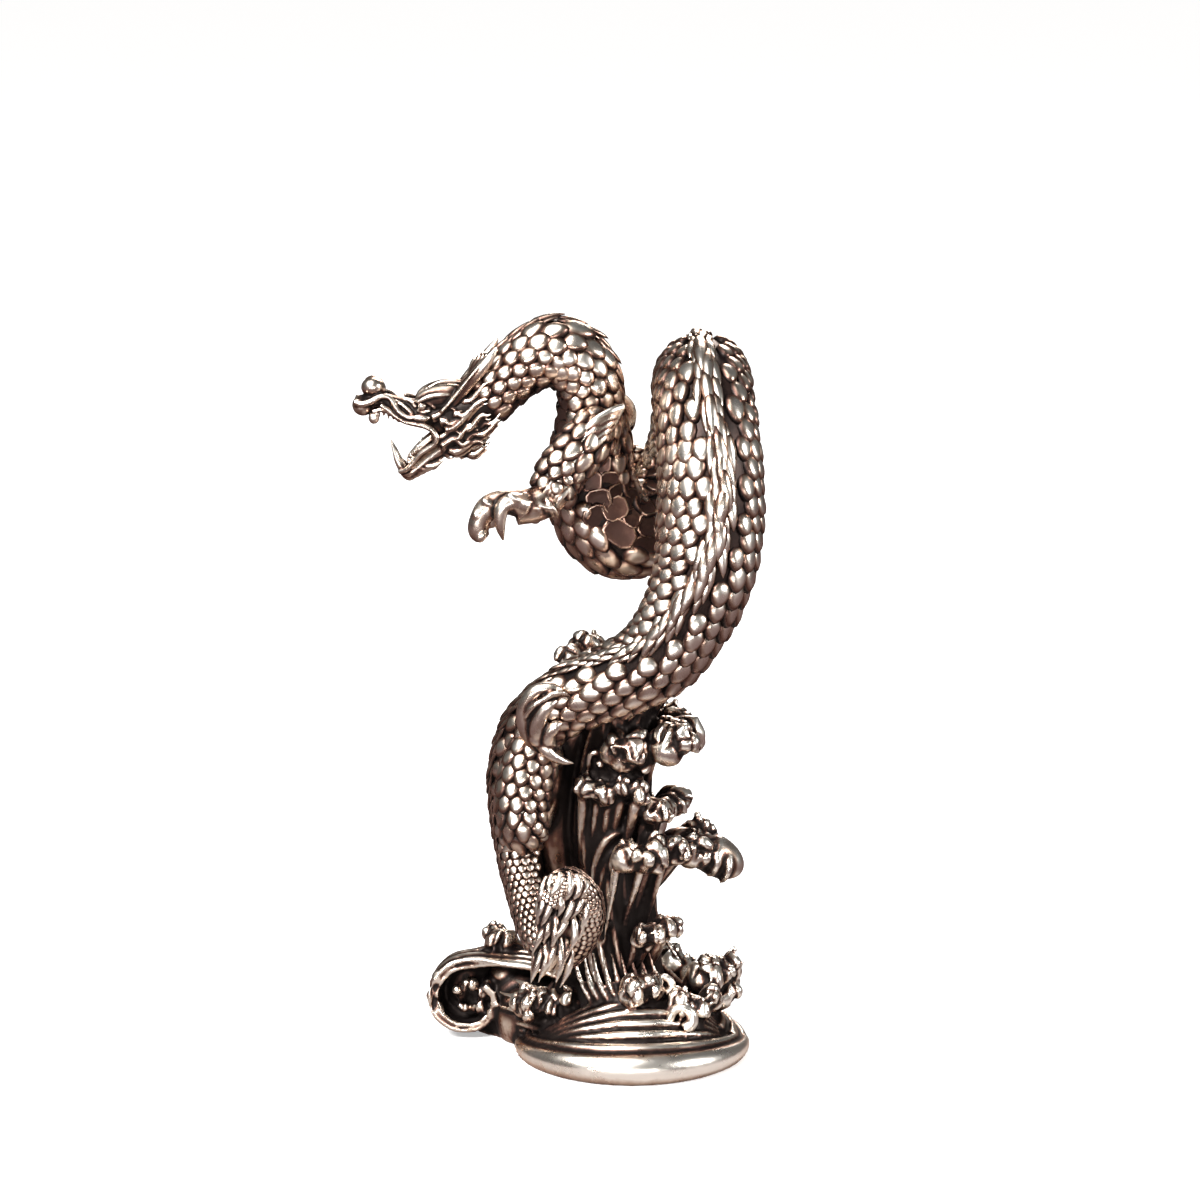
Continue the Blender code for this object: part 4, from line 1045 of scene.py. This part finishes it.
# Hooks of water that curl round on themselves
for x, y, z, size in ((4.6, -4.9, 7.9, 1.3), (7.4, -4.4, 8, 1.2), (9.2, -7.2, 5.4, 1.6),
                      (5.4, -4.4, 12.4, 0.9), (3, -3.9, 21, 1.1), (5, -4.3, 31, 1.1),
                      (0.6, -3.6, 31.4, 1)):
    hook = [(x - 0.7 * size, y + 0.8, z - 1.9 * size, 0.10),
            (x - 0.75 * size, y + 0.2, z - 0.8 * size, 0.26 * size)]
    for n in range(6):
        angle = radians(185 - 52 * n)
        hook.append((x + 0.7 * size * cos(angle), y - 0.08 * n, z + 0.7 * size * sin(angle),
                     size * (0.28 + 0.03 * n)))
    wax.tube(hook, sides=12, steps=5)
cast("water_column", 0.22, (8, 0.00011), (48, 0.0006), 0.22)

# Foot
# Low mound of churned water that the figure stands on, cast in one with it: a roll all round the
# edge, fat in front, under long fanned ridges, with an open swirl at the left and crests of foam.


def swirl():
    """Wave at the left that rolls up into an open spiral."""
    for shift, size, thick in ((-0.3, 4.05, 0.32), (-0.3, 3.3, 0.28), (0.2, 3.7, 0.5),
                               (1.2, 3.7, 0.72), (2.4, 3.5, 0.85), (3.6, 3.2, 0.9), (4.8, 2.8, 0.9)):
        rows = [np.array((0, -1 + shift, 6)), np.array((-5, 0.6 + shift, 8)),
                np.array((-8.6, 1.6 + shift, 8.3))]
        for k in range(9):
            angle = radians(84 + 40 * k)
            reach = size * (1 - 0.085 * max(k - 3, 0))
            rows.append(np.array((-12.4 + reach * cos(angle), 3 + shift - 0.12 * k,
                                  4.4 + reach * sin(angle))))
        wax.tube([(*row, thick * (1 - 0.03 * k)) for k, row in enumerate(rows)], sides=12, steps=5)
    wax.ball((-11.9, 6.6, 3.9), (3.7, 2.4, 3.8), sides=60)
    for n in range(12):
        angle = 1.3 * n
        place = (-12.3 + 1.4 * cos(angle), 3.3 + 0.3 * sin(2 * n), 4.2 + 1.4 * sin(angle))
        wax.ball(place, RANDOM.uniform(0.5, 0.85, 3), sides=10)
    wax.spots += [(np.array((-12.3, 3, 4.2)), 2.9), (np.array((-16.2, 3, 4.6)), 1.8)]
    for x, z in ((-15.7, 6.3), (-16.2, 4.6), (-15.6, 2.8)):
        wax.ball((x, 2.8, z), (0.7, 0.6, 1), sides=10)


wax = Wax()
MOUND = (4.2, 0.2, -0.8), (12, 12.6, 5.2)          # middle, then half lengths
BACK_MOUND = (-5, 7, -0.4), (7.4, 5.2, 4)


def on_mound(x, y, lift=0, mound=MOUND):
    """Point on the top of the mound at x and y."""
    (cx, cy, cz), (rx, ry, rz) = mound
    return x, y, cz + rz * sqrt(max(1 - ((x - cx) / rx) ** 2 - ((y - cy) / ry) ** 2, 0)) + lift


wax.ball(*MOUND, sides=120)
wax.ball(*BACK_MOUND, sides=90)
wax.ball((-6.6, 4.6, 2.4), (4.2, 3.4, 5), sides=60)
swirl()
# Two rolls round the edge, swollen in front, the lower one fat and the upper one thin
EDGE_X, EDGE_Y, EDGE_RADIUS = 4.2, -0.2, 11.5
for inward, rise, stout in ((1, 1.55, 1.66), (0.93, 3.1, 0.8)):
    rim = []
    for n in range(25):
        angle = radians(184 + 14.5 * n)
        swell = max(sin(pi * min((n + 0.5) / 13.2, 1)), 0) ** 1.1
        rim.append((EDGE_X + EDGE_RADIUS * inward * cos(angle),
                    EDGE_Y + EDGE_RADIUS * inward * sin(angle), rise * (0.45 + 0.55 * swell),
                    stout * (0.22 + 0.78 * swell)))
    wax.tube(rim, sides=36, steps=8)
# Long smooth ridges that fan out from the left over the mound, each on a broader one
for n in range(6):
    t = n / 5
    rows = [(*on_mound(-6.6 + 0.6 * t, -5 + 1.6 * t, 0.2), 0.12),
            (*on_mound(-3 + 0.6 * t, -7.8 + 2.8 * t, 0.7 + 0.9 * t), 0.34),
            (*on_mound(1.4 + 0.8 * t, -10.2 + 5.2 * t, 1.3 + 1.5 * t), 0.46),
            (*on_mound(6.4 + 0.4 * t, -10.4 + 6 * t, 1.5 + 1.5 * t), 0.46),
            (*on_mound(11 - 0.4 * t, -7.8 + 4.6 * t, 1 + t), 0.36),
            (*on_mound(13.4 - 0.6 * t, -4.6 + 3.2 * t, 0.3), 0.12)]
    wax.tube(rows, sides=12, steps=6)
    wax.tube([(x, y + 0.5, z - 1.15, r * 2.4) for x, y, z, r in rows], sides=12, steps=6)
# Flowing ridges between the swirl and the column
for n in range(7):
    t = n / 6
    odd = sin(2.6 * n)
    rows = [(-8.6 + 1.4 * odd, 2 - 0.6 * t, 6.8 - 4.4 * t, 0.06),
            (-6.4 + 0.8 * odd, -0.2 - 1.6 * t, 6.6 - 3.8 * t, 0.36),
            (-4 + 0.5 * t, -1.8 - 2.4 * t, 5.8 - 3 * t + 0.5 * odd, 0.46),
            (-1.4 + 0.4 * t, -3.4 - 2.6 * t, 5.6 - 2.6 * t, 0.36),
            (0.6, -5 - 2.4 * t, 4.4 - 1.6 * t, 0.06)]
    wax.tube(rows, sides=10, steps=6)
wax.ball((-6.4, 3, 2.2), (3.4, 3.6, 3.8), sides=60)
wax.ball((-8.6, 4.6, 6.2), (1.8, 1.6, 1.6))
# Plain rings of ripples on the side away from the viewer
for n in range(6):
    share = 0.95 - 0.09 * n
    ring = []
    for step_round in range(17):
        angle = radians(-12 + 12.5 * step_round)
        ring.append((*on_mound(4.2 + 12 * share * cos(angle), 0.2 + 12.6 * share * sin(angle), 0.05),
                     0.42))
    wax.tube(ring, sides=10, steps=3)
for n in range(4):
    wax.tube([(*on_mound(-11 + 2.4 * k, 8 + n - 0.03 * (k - 2.5) ** 2, 0.05, BACK_MOUND),
               0.36) for k in range(6)], sides=10)
# Crests: foot, middle, way out, size, width and number of fingers
foot_crests = [((-4, 5.6, 4), (-9.5, 5.8, 9.4), (-0.8, -0.2), 1.2, 2.4, 3),
               ((-2, -2, 4), (-4.6, -3, 5.2), (-0.4, -1), 1.7, 5, 4),
               ((8, -4, 2), (10.4, -5.6, 5.9), (0.4, -1), 1.7, 4, 4),
               ((10, 1, 3), (12.9, -0.2, 7.4), (0.7, -0.7), 1.7, 4.6, 5),
               ((9.6, 3, 2), (13.6, 3, 4.8), (1, 0.2), 1.6, 6, 4),
               ((6, 7.4, 2), (7.6, 9.8, 5.8), (0.5, 1), 1.9, 6, 5),
               ((-2, 7.4, 2), (-2.6, 10.2, 6.2), (-0.2, 1), 2, 7, 5),
               ((4.2, -5, 3), (5.2, -6.6, 8), (0.6, -1), 1.6, 2, 3)]
for crest in foot_crests:
    breaker(*crest, 0.75)
# Ribs that run down from the column, behind and then in front
for n in range(24):
    angle = radians(15 * n + 10)
    if sin(angle) < 0.1:
        continue
    wax.tube([(2.4 + 4.4 * cos(angle), 4.4 * sin(angle), 9, 0.4),
              (3 + 8 * cos(angle + 0.2), 8 * sin(angle + 0.2), 4.4, 0.5),
              (4 + 11 * cos(angle + 0.4), 11.2 * sin(angle + 0.4), 1.6, 0.45)])
for n in range(9):
    t = n / 8
    wax.tube([(-1.6 + 7.4 * t, -3.2 - 0.6 * sin(pi * t), 11.4, 0.12),
              (-1 + 7.8 * t, -4 - sin(pi * t), 8.4, 0.32),
              (0.6 + 7.6 * t, -5 - 1.2 * sin(pi * t), 6, 0.34),
              (3.2 + 6.8 * t, -6 - sin(pi * t), 4.9, 0.12)], steps=6)
cast("foot", 0.21, (9, 0.00011), (59, 0.0007), 0.46, polish=3)

for tool in (scale, plate, strand):
    bpy.data.objects.remove(tool)

# Floor, light and camera
# Plain pale sweep, soft lights, and the view that the photograph was taken from.

HAZE = 0.4             # own light of the paper, which keeps it near white
MIRRORED = (0.075, 0.048, 0.046, 1.0)     # what the metal sees in the floor: a reddish dusk
NEAR, FAR = 0.022, 0.040                  # from the middle of the floor, where that grows full
NEAR_SHARE = 0.74
ROOM = 0.09            # strength of the room's own light on the figure

floor_mesh = bpy.data.meshes.new("floor")
floor_mesh.from_pydata([(-1.5, -1.5, 0), (1.5, -1.5, 0), (1.5, 1.5, 0),
                        (-1.5, 1.5, 0)], [], [(0, 1, 2, 3)])
floor = placed("floor", floor_mesh)
paper = Finish("pale_paper")
paper.feed(paper.shader.inputs, {"Base Color": (0.86, 0.85, 0.84, 1.0), "Roughness": 0.9,
                                 "Emission Color": (1.0, 1.0, 1.0, 1.0), "Emission Strength": HAZE})
spot = paper.node("ShaderNodeTexCoord", {}, {}, "Object")
away = paper.node("ShaderNodeVectorMath", {"operation": "LENGTH"}, {0: spot}, "Value")
mirrored = (paper.node("ShaderNodeLightPath", {}, {}, "Is Glossy Ray")
            * (NEAR_SHARE + (1.0 - NEAR_SHARE) * away.step(NEAR, FAR)))
both = paper.node("ShaderNodeMixShader", {}, {
    0: mirrored, 1: Socket(paper, paper.shader.outputs[0]),
    2: paper.node("ShaderNodeBsdfDiffuse", {}, {"Color": MIRRORED})})
paper.feed(paper.tree.nodes["Material Output"].inputs, {"Surface": both})
floor_mesh.materials.append(paper.material)

world = bpy.data.worlds.new("studio")
bpy.context.scene.world = world
world.use_nodes = True
sky = Nodes(world.node_tree)
seen = sky.node("ShaderNodeLightPath", {}, {}, "Is Camera Ray")
sky.feed(sky.tree.nodes["Background"].inputs, {
    "Color": (1.0, 1.0, 1.0, 1.0),
    "Strength": sky.node("ShaderNodeMapRange", {}, {"Value": seen, "To Min": ROOM, "To Max": 1.0})})


def aim(thing, way):
    """Turns a light or camera so that it looks along way."""
    thing.rotation_euler = Vector(way).to_track_quat("-Z", "Y").to_euler()


def softbox(name, place, size, power):
    light = bpy.data.lights.new(name, "AREA")
    light.shape = "RECTANGLE"
    light.size, light.size_y, light.energy = *size, power
    lamp = placed(name, light)
    lamp.location = place
    aim(lamp, Vector(CHEST) - Vector(place))


CHEST = (0.0, 0.0, 0.04)
softbox("key", (-0.16, -0.22, 0.26), (0.13, 0.13), 2.2)
softbox("right", (0.28, -0.12, 0.14), (0.10, 0.10), 0.9)
softbox("low", (-0.05, -0.34, 0.035), (0.40, 0.03), 0.6)
softbox("back", (0.05, 0.35, 0.22), (0.16, 0.16), 0.7)
sun = bpy.data.lights.new("window", "SUN")
sun.energy, sun.angle = 2.2, radians(56)
aim(placed("window", sun), (0.45, 0.35, -1.0))

ELEVATION = radians(13)
DISTANCE = 0.4605      # from the camera to what it looks at
MIDDLE = 0.0488 - 0.014 * sin(ELEVATION)     # height of the view's middle, along its own up
back = Vector((0.0, -cos(ELEVATION), sin(ELEVATION)))
up = Vector((0.0, sin(ELEVATION), cos(ELEVATION)))
target = Vector((0.001, 0.0, 0.0)) + up * MIDDLE
view = bpy.data.cameras.new("view")
view.sensor_width = 36.0
view.lens = 135.0
camera = placed("view", view)
camera.location = target + back * DISTANCE
aim(camera, target - camera.location)
bpy.context.scene.camera = camera
bpy.context.scene.view_settings.view_transform = "Standard"
